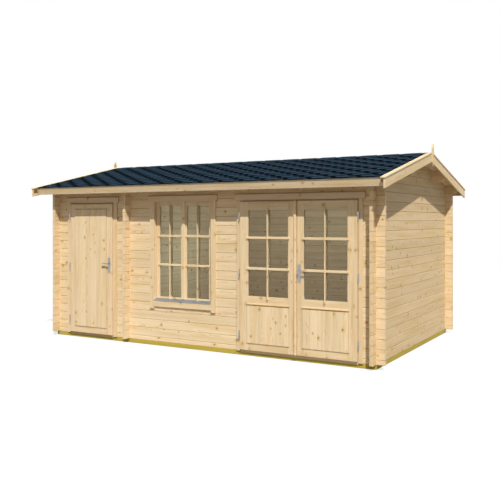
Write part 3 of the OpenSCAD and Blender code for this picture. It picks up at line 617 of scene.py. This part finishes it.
# %% Eased boards
SEED_STEP = 31.7
made = 0
for i, node in enumerate([
        "fascia_boards", "barge_boards_left", "barge_boards_right", "finials", "purlins",
        "single_door_frame", "single_door_trim", "double_door_frame", "double_door_trim",
        "window_frame", "window_trim"]):
    # Each trim gets a painted shadow line along its top edge, for the shadow gap above its head.
    wood = board_finish(node, top=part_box(node)[1].z) if node.endswith("_trim") else trim_wood
    made += eased(node, wood, seed=500 + SEED_STEP * i)
for i, node in enumerate(["single_door_leaf", "left_leaf", "right_leaf", "window_sashes"]):
    wood = leaf_wood if node.endswith("_leaf") else door_wood
    made += eased(node, wood, seed=900 + SEED_STEP * i)
made += eased("gable_battens", batten_wood_and_shade, seed=1150)
made += eased("base_beams", beam_wood, ease=0.003, seed=1200)
print("boards with eased edges:", made)

# %% [markdown]
# A door panel is boarded upright, so the same count runs across it. Its seams hold a faint shade, a painted
# shadow line lies along its top under the rail, and fainter painted shadow lines lie at its sides, where the
# panel goes into its groove. Deeper cuts in the mesh could give these lines, but they are shades more than
# shape, so masks draw them.

# %% Finish of a boarded panel
PANEL_SEAM = (0.468, 0.49, 0.32)
SEAMS_IN = 0.3
# Painted shadow lines along the panel's top and sides: where they lie and how strong they are.
PANEL_TOP_SHADOW, PANEL_TOP_SHADOW_DEPTH = (0.013, 0.009), 0.8
SIDE_SHADOW_LINE, SIDE_SHADOW_DEPTH = 0.009, 0.28


def panel_finish(name, first, width, boards, face, top, seed, colours=None):
    """Wood of a number of upright boards, counted along X from the first one's edge."""
    made, tree = new_material(name)
    x, y, z = split(tree, object_place(tree))
    count = over(tree, minus(tree, x, first), width)
    board, side, edge = numbered(tree, count, width)
    along = vector(tree, z, minus(tree, y, face), side)
    middle = boards / 2
    inner = calc(tree, "COMPARE", count, middle, middle - SEAMS_IN)
    seam = times(tree, ramp(tree, edge, *PANEL_SEAM), inner)
    # Painted shadow lines: along the top under the rail, and fainter at the sides.
    end = ramp(tree, z, top - PANEL_TOP_SHADOW[0], top - PANEL_TOP_SHADOW[1], PANEL_TOP_SHADOW_DEPTH)
    whole = calc(tree, "COMPARE", count, middle, middle - SIDE_SHADOW_LINE / width)
    sides = times_plus(tree, whole, -SIDE_SHADOW_DEPTH, SIDE_SHADOW_DEPTH)
    joint = calc(tree, "MAXIMUM", seam, calc(tree, "MAXIMUM", end, sides))
    finish_wood(tree, along, times_plus(tree, board, BOARD_STEP, seed), colours,
                shades=[(joint, SHADOW_LINE_SHADE)])
    return made


print("panel lines:", PANEL_TOP_SHADOW[0], "m at the top,", SIDE_SHADOW_LINE, "m at the sides")

# %% [markdown]
# The door panels are upright boards with a V groove between each two, cut in the frame's own solid.
# Their finish counts the boards, so each one has its own grain and tone. No copy is needed, because the
# grooves are real.

# %% Door panels
PANEL_BOARDS = 6
for node, seed, tint in [
        ("single_door_panel", 1301.0, None), ("left_leaf_panel", 1341.0, PALE),
        ("right_leaf_panel", 1381.0, PALE)]:
    low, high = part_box(node)
    width = (high.x - low.x) / PANEL_BOARDS
    dress(node, panel_finish(node + "_wood", low.x, width, PANEL_BOARDS, low.y, high.z, seed, tint))
    print(node, "board width", round(width, 4))

# %% [markdown]
# Geometry nodes lay what repeats. These helpers sweep a rounded outline along a line, set copies in a row,
# store attributes, and end each tree in the same way: the copies become real and get their material.

# %% Helpers for geometry trees


def geometry_group(name, inputs):
    """A geometry tree with a geometry in and out, inputs of its own and a material."""
    flow, paint = ("Geometry", "Geometry"), ("Material", "Material", None)
    return new_group(name, "GeometryNodeTree", [(*flow, None), *inputs, paint], [flow])


def position(tree):
    """The three parts of a point's place."""
    return split(tree, tree.nodes.new("GeometryNodeInputPosition").outputs[0])


def store(tree, geometry, name, value, kind="FLOAT", domain="POINT"):
    """The geometry with a named attribute."""
    return wire(tree, "GeometryNodeStoreNamedAttribute", {"Geometry": geometry, "Name": name, "Value": value},
                data_type=kind, domain=domain).outputs[0]


def store_chance(tree, geometry, name, most, seed):
    """The instances, each with a random number from zero to the most."""
    chance = wire(tree, "FunctionNodeRandomValue", {2: 0.0, 3: most, "Seed": seed}, data_type="FLOAT")
    return store(tree, geometry, name, chance.outputs[1], domain="INSTANCE")


def swept(tree, start, end, width, height, ease, steps):
    """A bar between two places, with rounded edges."""
    line = wire(tree, "GeometryNodeCurvePrimitiveLine", {"Start": start, "End": end})
    outline = wire(tree, "GeometryNodeCurvePrimitiveQuadrilateral", {"Width": width, "Height": height})
    rounded = wire(tree, "GeometryNodeFilletCurve", {
        "Curve": outline.outputs[0], "Radius": ease, "Count": steps}, mode="POLY")
    return wire(tree, "GeometryNodeCurveToMesh", {
        "Curve": line.outputs[0], "Profile Curve": rounded.outputs[0], "Fill Caps": True}).outputs[0]


def in_row(tree, thing, count, step):
    """Copies of a thing in a row along X, about the middle."""
    first = times(tree, times(tree, minus(tree, count, 1.0), -0.5), step)
    row = wire(tree, "GeometryNodeMeshLine", {
        "Count": count, "Start Location": vector(tree, first, 0.0, 0.0),
        "Offset": vector(tree, step, 0.0, 0.0)})
    return wire(tree, "GeometryNodeInstanceOnPoints", {
        "Points": row.outputs[0], "Instance": thing}).outputs[0]


def moved(tree, geometry, **sockets):
    """The geometry shifted by a Translation, turned by a Rotation, or both."""
    return wire(tree, "GeometryNodeTransform", {"Geometry": geometry, **sockets}).outputs[0]


def end_tree(tree, geometry, material, result):
    """Makes the copies real, gives them their material and ends the tree."""
    real = wire(tree, "GeometryNodeRealizeInstances", {"Geometry": geometry})
    painted = wire(tree, "GeometryNodeSetMaterial", {"Geometry": real.outputs[0], "Material": material})
    tree.links.new(painted.outputs[0], result.inputs[0])
    return tree


# %% [markdown]
# A modifier runs a tree once, on an empty mesh. Its inputs are set by their identifiers, the result is copied
# out, and the modifier is removed, so that what stays is a plain mesh like any other.

# %% Running a geometry tree


def tree_input(tree, label):
    """The identifier of a named input, which is how a modifier is set."""
    return next(s.identifier for s in tree.interface.items_tree
                if s.item_type == "SOCKET" and s.in_out == "INPUT" and s.name == label)


def grow(name, tree, values):
    """Runs a geometry tree and keeps the result as a plain mesh object."""
    carrier = add_object(name + "_carrier", bpy.data.meshes.new(name + "_carrier"))
    modifier = carrier.modifiers.new("grow", "NODES")
    modifier.node_group = tree
    for label, value in values.items():
        modifier[tree_input(tree, label)] = value
    depsgraph = bpy.context.evaluated_depsgraph_get()
    mesh = bpy.data.meshes.new_from_object(
        carrier.evaluated_get(depsgraph), preserve_all_data_layers=True, depsgraph=depsgraph)
    mesh.name = name
    mesh.shade_flat()
    carrier.modifiers.remove(modifier)
    bpy.data.objects.remove(carrier)
    return add_object(name, mesh)


def join_meshes(name, pieces):
    """Joins plain mesh pieces into one, which keeps their materials and attributes."""
    with bpy.context.temp_override(active_object=pieces[0], selected_editable_objects=pieces):
        bpy.ops.object.join()
    pieces[0].name = name
    pieces[0].data.name = name
    return pieces[0]


# %% [markdown]
# Roof and floor are laid from narrow boards, and their seams show on the soffit and through an open door.
# One tree lays boards side by side. An Array modifier could repeat a board as well, but all its copies
# would have the same grain. The tree stores the grain on the board before it is repeated, so that every
# copy runs its grain along itself, and then gives each copy a number.

# %% Boards in a row


def board_row_tree():
    """A row of boards along X, each running along Y and round at its long edges."""
    tree, given, result = geometry_group("board_row", [
        ("Boards", "Int", 10), ("Width", "Float", 0.1), ("Gap", "Float", 0.001), ("Length", "Float", 1.0),
        ("Thickness", "Float", 0.02), ("Ease", "Float", 0.002), ("Tilt", "Float", 0.0),
        ("Place", "Vector", None), ("Seed", "Int", 0)])
    take = given.outputs
    half = times(tree, take["Length"], 0.5)
    start = vector(tree, 0.0, times(tree, half, -1.0), 0.0)
    wide = minus(tree, take["Width"], take["Gap"])
    board = swept(tree, start, vector(tree, 0.0, half, 0.0), wide, take["Thickness"], take["Ease"], 2)
    x, y, z = position(tree)
    board = store(tree, board, "grain", vector(tree, y, z, x), "FLOAT_VECTOR")
    row = store_chance(tree, in_row(tree, board, take["Boards"], take["Width"]), "board", 400.0, take["Seed"])
    row = moved(tree, row, Translation=take["Place"], Rotation=vector(tree, take["Tilt"], 0.0, 0.0))
    return end_tree(tree, row, take["Material"], result)


BOARD_ROW = board_row_tree()
print("board row:", len(BOARD_ROW.nodes), "nodes")

# %% [markdown]
# The roof boards run from the eave to the ridge, and their undersides are the soffit. Each slope is one
# slab in the frame, so its box gives the pitch and the length that the boards have to fill. The pitch could
# be typed in, but measured it follows the frame when that changes.

# %% Roof boards
ROOF_BOARD = 0.096
ROOF_SLAB = 0.018
ROOF_SHORT = 0.004


def slope_tilt(low, high, slab):
    """The pitch of a sloping slab, from its box and its thickness."""
    run, height = high.y - low.y, high.z - low.z
    flat_guess = math.atan2(height - slab, run)
    return math.atan2(height - slab / math.cos(flat_guess), run)


roof_wood = board_finish("roof_board")
for side, node in [(-1, "roof_boards_front"), (1, "roof_boards_rear")]:
    low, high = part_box(node)
    tilt = slope_tilt(low, high, ROOF_SLAB)
    count = round((high.x - low.x) / ROOF_BOARD)
    piece = grow(node + "_laid", BOARD_ROW, {
        "Boards": count, "Width": (high.x - low.x) / count, "Gap": 0.0015,
        "Length": (high.y - low.y) / math.cos(tilt) - ROOF_SHORT, "Thickness": ROOF_SLAB, "Ease": 0.003,
        "Tilt": -side * tilt, "Place": (0.0, (low.y + high.y) / 2, (low.z + high.z) / 2), "Seed": 7 + side,
        "Material": roof_wood})
    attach(piece, "house")
    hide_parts(node)
    print(node, count, "boards, pitch", round(math.degrees(tilt), 2))

# %% [markdown]
# The floor lies in two rooms, so the frame's one node is split at the partition into two rows of boards,
# which are then joined to one piece. One long row would be shorter to write, but its boards would run under
# the partition's logs, where the real ones stop.

# %% Floor
FLOOR_BOARD = 0.112
FLOOR_GAP = 0.006
floor_wood = board_finish("floor_board", {"Early wood": (0.56, 0.37, 0.18), "Late wood": (0.42, 0.25, 0.10)})
low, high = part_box("floor_boards")
left_face, right_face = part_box("partition_wall")[0].x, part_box("partition_wall")[1].x
rooms = [(low.x, left_face - FLOOR_GAP), (right_face + FLOOR_GAP, high.x)]
laid = []
for i, (x0, x1) in enumerate(rooms):
    count = round((x1 - x0) / FLOOR_BOARD)
    laid.append(grow(f"room_{i}", BOARD_ROW, {
        "Boards": count, "Width": (x1 - x0) / count, "Gap": 0.001, "Length": high.y - low.y,
        "Thickness": high.z - low.z, "Ease": 0.0015, "Tilt": 0.0,
        "Place": ((x0 + x1) / 2, (low.y + high.y) / 2, (low.z + high.z) / 2), "Seed": 31 + i,
        "Material": floor_wood}))
floor_piece = join_meshes("floor_laid", laid)
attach(floor_piece, "house")
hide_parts("floor_boards")
print("floor laid in", len(rooms), "rooms")

# %% [markdown]
# Bitumen shingles are strips with tabs cut like half hexagons. Tabs and notches carry the same blue-grey
# granules, and a black shadow is printed along the lower edge and one slanted edge of each tab. Two
# materials could do it, but one finish serves both, because an attribute tells them apart and the granules
# stay alike.

# %% Shingle finish
GRANULES = (0.0085, 0.0155, 0.0250, 1), (0.0285, 0.0515, 0.0760, 1)
PRINT_BLACK = (0.004, 0.006, 0.009, 1)


def shingle_finish():
    """Granules on bitumen: blue-grey where the cover is one, and printed black where it is zero."""
    made, tree = new_material("shingle")
    place = object_place(tree)
    grit = noise(tree, place, Scale=420.0, Detail=3.0, Roughness=0.7)
    cloud = noise(tree, place, Scale=7.0, Detail=4.0)
    specks = wire(tree, "ShaderNodeTexVoronoi", {"Vector": place, "Scale": 520.0}, feature="F1")
    speck = split(tree, specks.outputs["Color"])[0]
    bright = times_plus(tree, attribute(tree, "tone"), 0.35, times_plus(tree, cloud, 0.6, 0.40))
    bright = times(tree, bright, times_plus(tree, speck, 0.9, 0.55))
    colour = blend(tree, attribute(tree, "cover"), PRINT_BLACK, blend(tree, bright, *GRANULES))
    bump = wire(tree, "ShaderNodeBump", {"Height": grit, "Strength": 0.6, "Distance": 0.0012})
    end_material(tree, {"Base Color": colour, "Roughness": times_plus(tree, grit, 0.2, 0.78),
                        "Normal": bump.outputs[0], "Specular IOR Level": 0.0})
    return made


shingle = shingle_finish()
print("shingle finish ready")

# %% [markdown]
# A tab is thin and tapers to half its width at its lower edge. A block of three rows of points is enough
# for that: its points are drawn in by their height on the slope. A black copy lies a little aside under it,
# as the printed shadow does. A picture on a flat slope would be less work, but real tabs have an edge that
# shows from the side.

# %% One tab of a shingle
TAB = 0.2995
EXPOSURE = 0.1275
TAB_THICK = 0.005
TAB_REACH = 1.12
TAB_FOOT, TAB_FLARE, TAB_FULL = 0.475, 0.588, 0.998
TAB_LEVEL, UPWARD = 0.62, 0.7


def joined(tree, *parts):
    """Several geometries as one."""
    made = tree.nodes.new("GeometryNodeJoinGeometry")
    for part in parts:
        tree.links.new(part, made.inputs[0])
    return made.outputs[0]


def tab_shape(tree, take):
    """One tab: a block whose lower edge is half as wide, thicker there and buried at its upper edge."""
    long = times(tree, take["Exposure"], TAB_REACH)
    block = wire(tree, "GeometryNodeMeshCube", {
        "Size": vector(tree, take["Tab"], long, take["Thickness"]),
        "Vertices X": 2, "Vertices Y": 3, "Vertices Z": 2})
    x, y, z = position(tree)
    share = plus(tree, over(tree, y, long), 0.5)
    taper = calc(tree, "MINIMUM", times_plus(tree, share, TAB_FLARE, TAB_FOOT), TAB_FULL)
    lift = times(tree, minus(tree, TAB_LEVEL, share), take["Thickness"])
    spot = vector(tree, times(tree, x, taper), times_plus(tree, long, 0.5, y), plus(tree, z, lift))
    shaped = wire(tree, "GeometryNodeSetPosition", {
        "Geometry": block.outputs[0], "Position": spot}).outputs[0]
    facing = split(tree, tree.nodes.new("GeometryNodeInputNormal").outputs[0])[2]
    covered = store(tree, shaped, "cover", calc(tree, "GREATER_THAN", facing, UPWARD), domain="FACE")
    printed = moved(tree, store(tree, shaped, "cover", 0.0, domain="FACE"), Translation=take["Rim"])
    return joined(tree, covered, printed)


print("tab:", TAB, "by", EXPOSURE)

# %% [markdown]
# Shingles are nailed in rows that overlap, each row half a tab aside, and no nailer sets every strip quite
# straight. So the tabs stand on the points of a grid, every second row is shifted, and each tab is turned a
# trifle by chance, with a fixed seed. Copies set by hand would look as good, but couldn't be changed at
# once.

# %% Grid of tabs
SWAY = (0.004, 0.0, 0.006)


def tab_grid(tree, take, tab):
    """The tabs on their grid, each row half a tab aside."""
    pairs = calc(tree, "CEIL", over(tree, take["Width"], times(tree, take["Tab"], 2.0)))
    columns = times_plus(tree, pairs, 2.0, 5.0)
    rows = calc(tree, "CEIL", over(tree, take["Slope length"], take["Exposure"]))
    wide = times(tree, minus(tree, columns, 1.0), take["Tab"])
    high = times(tree, minus(tree, rows, 1.0), take["Exposure"])
    grid = wire(tree, "GeometryNodeMeshGrid", {
        "Size X": wide, "Size Y": high, "Vertices X": columns, "Vertices Y": rows})
    x, y, _ = position(tree)
    up = times_plus(tree, high, 0.5, y)
    number = calc(tree, "ROUND", over(tree, up, take["Exposure"]))
    odd = calc(tree, "MODULO", number, 2.0)
    aside = times(tree, odd, times(tree, take["Tab"], 0.5))
    spot = vector(tree, plus(tree, x, aside), up, times(tree, take["Thickness"], 0.5))
    spread = wire(tree, "GeometryNodeSetPosition", {
        "Geometry": grid.outputs[0], "Position": spot, "Offset": take["Start"]})
    sway = wire(tree, "FunctionNodeRandomValue", {0: tuple(-v for v in SWAY), 1: SWAY, "Seed": take["Seed"]},
                data_type="FLOAT_VECTOR")
    tabs = wire(tree, "GeometryNodeInstanceOnPoints", {
        "Points": spread.outputs[0], "Instance": tab, "Rotation": sway.outputs[0]})
    return store_chance(tree, tabs.outputs[0], "tone", 1.0, take["Seed"])


print("sway of a tab:", SWAY)

# %% [markdown]
# The whole slope is one tree: the grid of tabs, and an underlay that closes the slope below them. It is
# laid flat first, because rows are easy to count there, and then tilted to the pitch and turned to its side
# of the roof.

# %% Shingle rows


def shingle_tree():
    """Rows of hexagonal tabs over an underlay, on a slope that rises along +Y before it is turned."""
    tree, given, result = geometry_group("shingle_rows", [
        ("Width", "Float", 5.0), ("Slope length", "Float", 1.8), ("Tab", "Float", TAB),
        ("Exposure", "Float", EXPOSURE), ("Thickness", "Float", TAB_THICK), ("Start", "Vector", None),
        ("Rim", "Vector", None), ("Tilt", "Float", 0.0), ("Turn", "Float", 0.0), ("Eave", "Vector", None),
        ("Seed", "Int", 0)])
    take = given.outputs
    tabs = tab_grid(tree, take, tab_shape(tree, take))
    sheet = wire(tree, "GeometryNodeMeshCube", {
        "Size": vector(tree, take["Width"], take["Slope length"], take["Thickness"])}).outputs[0]
    sheet = moved(tree, sheet, Translation=vector(
        tree, 0.0, times(tree, take["Slope length"], 0.5), times(tree, take["Thickness"], -0.5)))
    for label, level in [("cover", 1.0), ("tone", 0.5)]:
        sheet = store(tree, sheet, label, level, domain="FACE")
    slope = moved(tree, joined(tree, tabs, sheet), Rotation=vector(tree, take["Tilt"], 0.0, 0.0))
    slope = moved(tree, slope, Translation=take["Eave"], Rotation=vector(tree, 0.0, 0.0, take["Turn"]))
    return end_tree(tree, slope, take["Material"], result)


SHINGLE_ROWS = shingle_tree()
print("shingle rows:", len(SHINGLE_ROWS.nodes), "nodes")

# %% [markdown]
# The two slopes are laid from the eave up, and their rough ends are cut off straight, as a roofer does with
# a knife along the edge. A Boolean modifier could cut them too, but a cut along a plane is faster and safe
# on thin tabs that overlap.

# %% Two slopes of shingles
SHINGLE_SLAB = 0.007
FIRST_TAB = 0.034
FIRST_ROW = 0.0133
RIM = (-0.042, -0.034, -0.002)


def cut_off(piece, cuts):
    """Cuts a piece straight past each plane, given as a point and the way out, and closes the cuts."""
    bm = bmesh.new()
    bm.from_mesh(piece.data)
    for point, outward in cuts:
        cut = bmesh.ops.bisect_plane(
            bm, geom=bm.verts[:] + bm.edges[:] + bm.faces[:], plane_co=point, plane_no=outward,
            clear_outer=True)
        rim = [e for e in cut["geom_cut"] if isinstance(e, bmesh.types.BMEdge)]
        bmesh.ops.holes_fill(bm, edges=rim, sides=12)
    bm.to_mesh(piece.data)
    bm.free()


def gable_cuts(low, high):
    """The cuts at a roof's two gable ends."""
    return [((low.x, 0, 0), (-1, 0, 0)), ((high.x, 0, 0), (1, 0, 0))]


for side, node in [(-1, "shingles_front"), (1, "shingles_rear")]:
    low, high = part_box(node)
    tilt = slope_tilt(low, high, SHINGLE_SLAB)
    eave_y = low.y if side < 0 else high.y
    piece = grow(node + "_tabs", SHINGLE_ROWS, {
        "Width": high.x - low.x, "Slope length": (high.y - low.y) / math.cos(tilt), "Tab": TAB,
        "Exposure": EXPOSURE, "Thickness": TAB_THICK, "Start": (FIRST_TAB, FIRST_ROW, 0.0), "Rim": RIM,
        "Tilt": tilt, "Turn": 0.0 if side < 0 else math.pi, "Eave": (0.0, eave_y, low.z + TAB_THICK),
        "Seed": 5 + side, "Material": shingle})
    cut_off(piece, [*gable_cuts(low, high), ((0, 0, 0), (0, -side, 0)), ((0, eave_y, 0), (0, side, 0))])
    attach(piece, "house")
    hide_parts(node)
    print(node, "tabs:", len(piece.data.polygons), "faces, tilt", round(math.degrees(tilt), 2))

# %% [markdown]
# The ridge is closed by single tabs bent over it, each lapped over the one before. A flat block is bent by
# lowering its points with their distance from the ridge, and the fold is rounded a little. A Bend modifier
# would need a turn and a centre for each tab, and here one rule serves the whole row.

# %% Ridge tabs
RIDGE_STEP = 0.145
RIDGE_LAP = 1.25
RIDGE_ROUND = 0.0002
RIDGE_LIFT = 0.001


def ridge_tree():
    """Bent tabs in a row along X."""
    tree, given, result = geometry_group("ridge_tabs", [
        ("Tabs", "Int", 30), ("Step", "Float", RIDGE_STEP), ("Width", "Float", 0.28), ("Fall", "Float", 0.2),
        ("Thickness", "Float", TAB_THICK), ("Place", "Vector", None), ("Seed", "Int", 0)])
    take = given.outputs
    long = times(tree, take["Step"], RIDGE_LAP)
    block = wire(tree, "GeometryNodeMeshCube", {
        "Size": vector(tree, long, take["Width"], take["Thickness"]),
        "Vertices X": 2, "Vertices Y": 9, "Vertices Z": 2})
    x, y, z = position(tree)
    away = calc(tree, "SQRT", plus(tree, times(tree, y, y), RIDGE_ROUND))
    fall = times(tree, times(tree, away, take["Fall"]), -1.0)
    lean = times(tree, over(tree, x, long), take["Thickness"])
    spot = vector(tree, x, y, plus(tree, plus(tree, z, fall), lean))
    bent = wire(tree, "GeometryNodeSetPosition", {"Geometry": block.outputs[0], "Position": spot}).outputs[0]
    row = in_row(tree, store(tree, bent, "cover", 1.0, domain="FACE"), take["Tabs"], take["Step"])
    row = store_chance(tree, row, "tone", 1.0, take["Seed"])
    return end_tree(tree, moved(tree, row, Translation=take["Place"]), take["Material"], result)


low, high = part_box("ridge_cap")
count = math.ceil((high.x - low.x) / RIDGE_STEP)
ridge = grow("ridge_tabs", ridge_tree(), {
    "Tabs": count, "Step": (high.x - low.x) / count, "Width": high.y - low.y, "Fall": math.tan(tilt),
    "Thickness": TAB_THICK, "Place": (0.0, 0.0, high.z - TAB_THICK + RIDGE_LIFT), "Seed": 3,
    "Material": shingle})
cut_off(ridge, gable_cuts(low, high))
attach(ridge, "house")
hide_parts("ridge_cap")
print("ridge tabs:", count)

# %% [markdown]
# The panes look like many, but each leaf and sash has one pane between two lattices of bars, one planted on
# the outside and one on the inside. Single blocks would do for a few bars, but a tree with the pane's
# corners as inputs fits every lattice. It lays a bar outline along lines, upright and level, whose ends lap
# over the rails and stiles.

# %% Glazing bars
BAR_EASE = 0.0035


def lattice_tree():
    """A lattice of bars in the XZ plane: one upright bar and two level ones, at a depth along Y."""
    tree, given, result = geometry_group("glazing_bars", [
        ("Low", "Vector", None), ("High", "Vector", None), ("Level 1", "Float", 1.0),
        ("Level 2", "Float", 1.4), ("Side lap", "Float", 0.02), ("End lap", "Float", 0.03),
        ("Bar", "Float", 0.03), ("Proud", "Float", 0.011), ("Seed", "Float", 0.0)])
    take = given.outputs
    low_x, face, low_z = split(tree, take["Low"])
    high_x, _, high_z = split(tree, take["High"])
    middle = times(tree, plus(tree, low_x, high_x), 0.5)
    left = minus(tree, low_x, take["Side lap"])
    right = plus(tree, high_x, take["Side lap"])
    foot = minus(tree, low_z, take["End lap"])
    head = plus(tree, high_z, take["End lap"])
    runs = [(vector(tree, middle, face, foot), vector(tree, middle, face, head), 0.0, None)]
    for i, level in enumerate([take["Level 1"], take["Level 2"]]):
        runs.append((vector(tree, left, face, level), vector(tree, right, face, level), 3.1 + i, level))
    bars = []
    for start, end, number, level in runs:
        bar = swept(tree, start, end, take["Proud"], take["Bar"], BAR_EASE, 3)
        x, y, z = position(tree)
        along, side = (z, minus(tree, x, middle)) if level is None else (x, minus(tree, z, level))
        grain = vector(tree, along, minus(tree, y, face), side)
        bar = store(tree, bar, "grain", grain, "FLOAT_VECTOR")
        bars.append(store(tree, bar, "board", plus(tree, take["Seed"], number)))
    return end_tree(tree, joined(tree, *bars), take["Material"], result)


LATTICE = lattice_tree()
print("lattice:", len(LATTICE.nodes), "nodes")

# %% [markdown]
# The window's two sashes have one node of glass, so it is split at their meeting stiles. The bars carry
# nothing, so the frame leaves them to the scene, and those of a door leaf ride on that leaf.

# %% Bars of the window and the doors
BAR = 0.030
INNER_PROUD = 0.011
SASH_PROUD, SASH_LEVELS = 0.009, (1.0745, 1.455)
LEAF_PROUD, LEAF_LEVELS = 0.014, (1.075, 1.448)
SIDE_LAP, END_LAP = 0.018, 0.030
SASH_MEETING = 0.0463
GLASS_DEEP = 0.018
HINGE_DEEP = 0.007


def lattices(name, body, panes, outer_face, inner_face, proud, levels, seed):
    """Bars on both sides of one or two panes, given by their low and high corners, joined to one piece."""
    made = []
    for low, high in panes:
        for face, deep in [(outer_face - proud / 2, proud), (inner_face + INNER_PROUD / 2, INNER_PROUD)]:
            made.append(grow(f"{name}_{len(made)}", LATTICE, {
                "Low": (low.x, face, low.z), "High": (high.x, face, high.z), "Level 1": levels[0],
                "Level 2": levels[1], "Side lap": SIDE_LAP, "End lap": END_LAP, "Bar": BAR, "Proud": deep,
                "Seed": seed + 17.0 * len(made), "Material": door_wood}))
    piece = join_meshes(name, made)
    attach(piece, body)
    spans = [[round(f([v.co[k] for v in piece.data.vertices]), 3) for f in (min, max)] for k in range(3)]
    print(name, "spans", spans)


low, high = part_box("window_glass")
sash_middle = (low.x + high.x) / 2
left_pane = (low, Vector((sash_middle - SASH_MEETING, high.y, high.z)))
right_pane = (Vector((sash_middle + SASH_MEETING, low.y, low.z)), high)
lattices("window_bars", "house", [left_pane, right_pane], low.y - GLASS_DEEP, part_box("window_sashes")[1].y,
         SASH_PROUD, SASH_LEVELS, 1400.0)
leaf_face, leaf_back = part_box("right_leaf_hinges")[0].y + HINGE_DEEP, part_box("right_leaf")[1].y
for i, leaf in enumerate(["left_leaf", "right_leaf"]):
    lattices(leaf + "_bars", "double_" + leaf, [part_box(leaf + "_glass")], leaf_face, leaf_back,
             LEAF_PROUD, LEAF_LEVELS, 1500.0 + 50 * i)

# %% [markdown]
# Hinges, plates and levers are satin steel, and the strip under the window is dull zinc. Fine noise, drawn
# out along one axis, gives the brushed streaks; a slower one gives the clouded finish. An anisotropic
# shader would also look brushed, but on pieces as small as these streaks in the roughness are enough.

# %% Metal finishes
UPRIGHT_STREAKS = (900.0, 900.0, 25.0)
LEVEL_STREAKS = (20.0, 700.0, 700.0)


def metal_finish(name, colour, dark, rough, stretch):
    """Satin metal with brushed streaks; stretch scales the streak noise along each axis."""
    made, tree = new_material(name)
    place = object_place(tree)
    brushed = noise(tree, place, stretch, Scale=1.0, Detail=3.0)
    cloud = noise(tree, place, Scale=30.0, Detail=3.0)
    share = times_plus(tree, cloud, 0.7, times(tree, brushed, 0.3))
    tint = blend(tree, share, (*dark, 1), (*colour, 1))
    bump = wire(tree, "ShaderNodeBump", {"Height": brushed, "Strength": 0.25, "Distance": 0.0004})
    end_material(tree, {"Base Color": tint, "Metallic": 1.0, "Normal": bump.outputs[0],
                        "Roughness": times_plus(tree, brushed, 0.22, rough)})
    return made


steel = metal_finish("steel", (0.42, 0.42, 0.425), (0.31, 0.31, 0.315), 0.30, UPRIGHT_STREAKS)
hinge_steel = metal_finish("hinge_steel", (0.56, 0.57, 0.58), (0.33, 0.34, 0.35), 0.22, UPRIGHT_STREAKS)
zinc = metal_finish("zinc_sheet", (0.45, 0.50, 0.58), (0.32, 0.36, 0.43), 0.38, LEVEL_STREAKS)
for node in nodes:
    if node == "hinge_pins" or node.endswith("_hinges"):
        dress(node, hinge_steel)
    elif node.endswith(("_plates", "_lever")):
        dress(node, steel)
dress("window_flashing", zinc)
print("metal dressed")

# %% [markdown]
# The panes are clear float glass with a faint green tint and a little dust. The refractive index is below
# the 1.5 of real glass, so that they mirror the white surroundings only faintly. To light that is thrown
# about, the glass is much darker, so that the rooms stay as dim as they look in the picture. A half
# transparent surface would be faster, but it wouldn't bend or mirror anything.

# %% Glass
GLASS_CLEAN, GLASS_DUSTY = (0.91, 0.975, 0.965, 1), (0.87, 0.945, 0.935, 1)
GLASS_DARK = (0.16, 0.17, 0.17, 1)
GLASS_IOR = 1.36


def glass_finish():
    """Clear glass with faint dust."""
    made, tree = new_material("glass")
    dust = noise(tree, object_place(tree), Scale=9.0, Detail=5.0)
    rough = times(tree, calc(tree, "POWER", dust, 3.0), 0.05)
    thrown = tree.nodes.new("ShaderNodeLightPath").outputs["Is Diffuse Ray"]
    tint = blend(tree, thrown, blend(tree, dust, GLASS_CLEAN, GLASS_DUSTY), GLASS_DARK)
    end_material(tree, {"Base Color": tint, "Roughness": rough, "IOR": GLASS_IOR, "Transmission Weight": 1.0})
    return made


glass = glass_finish()
for node in ["window_glass", "left_leaf_glass", "right_leaf_glass"]:
    dress(node, glass)
print("glass dressed")

# %% [markdown]
# Wide soft lamps in the rooms stand for the light that comes in through all the openings and is thrown
# about by the pale walls. More bounces of light would do the same, but slowly and with noise. The lamps
# can't be seen themselves, and lift the rooms enough to show their logs through the panes.

# %% Room light
ROOM_POWER = 9.0
ROOM_COLOUR = (0.78, 0.96, 1.0)
for name, place, share in [
        ("By the window", (-0.3, -0.38, 1.08), 1.1), ("By the doors", (0.9, 0.3, 1.9), 0.86),
        ("Store", (-1.75, 0.0, 1.5), 0.4)]:
    lamp_data = bpy.data.lights.new(name, "POINT")
    lamp_data.energy = ROOM_POWER * share
    lamp_data.color = ROOM_COLOUR
    lamp_data.shadow_soft_size = 0.4
    lamp = add_object(name, lamp_data)
    lamp.location = place
    lamp.visible_camera = lamp.visible_glossy = lamp.visible_transmission = False
print("room lamps:", ROOM_POWER)
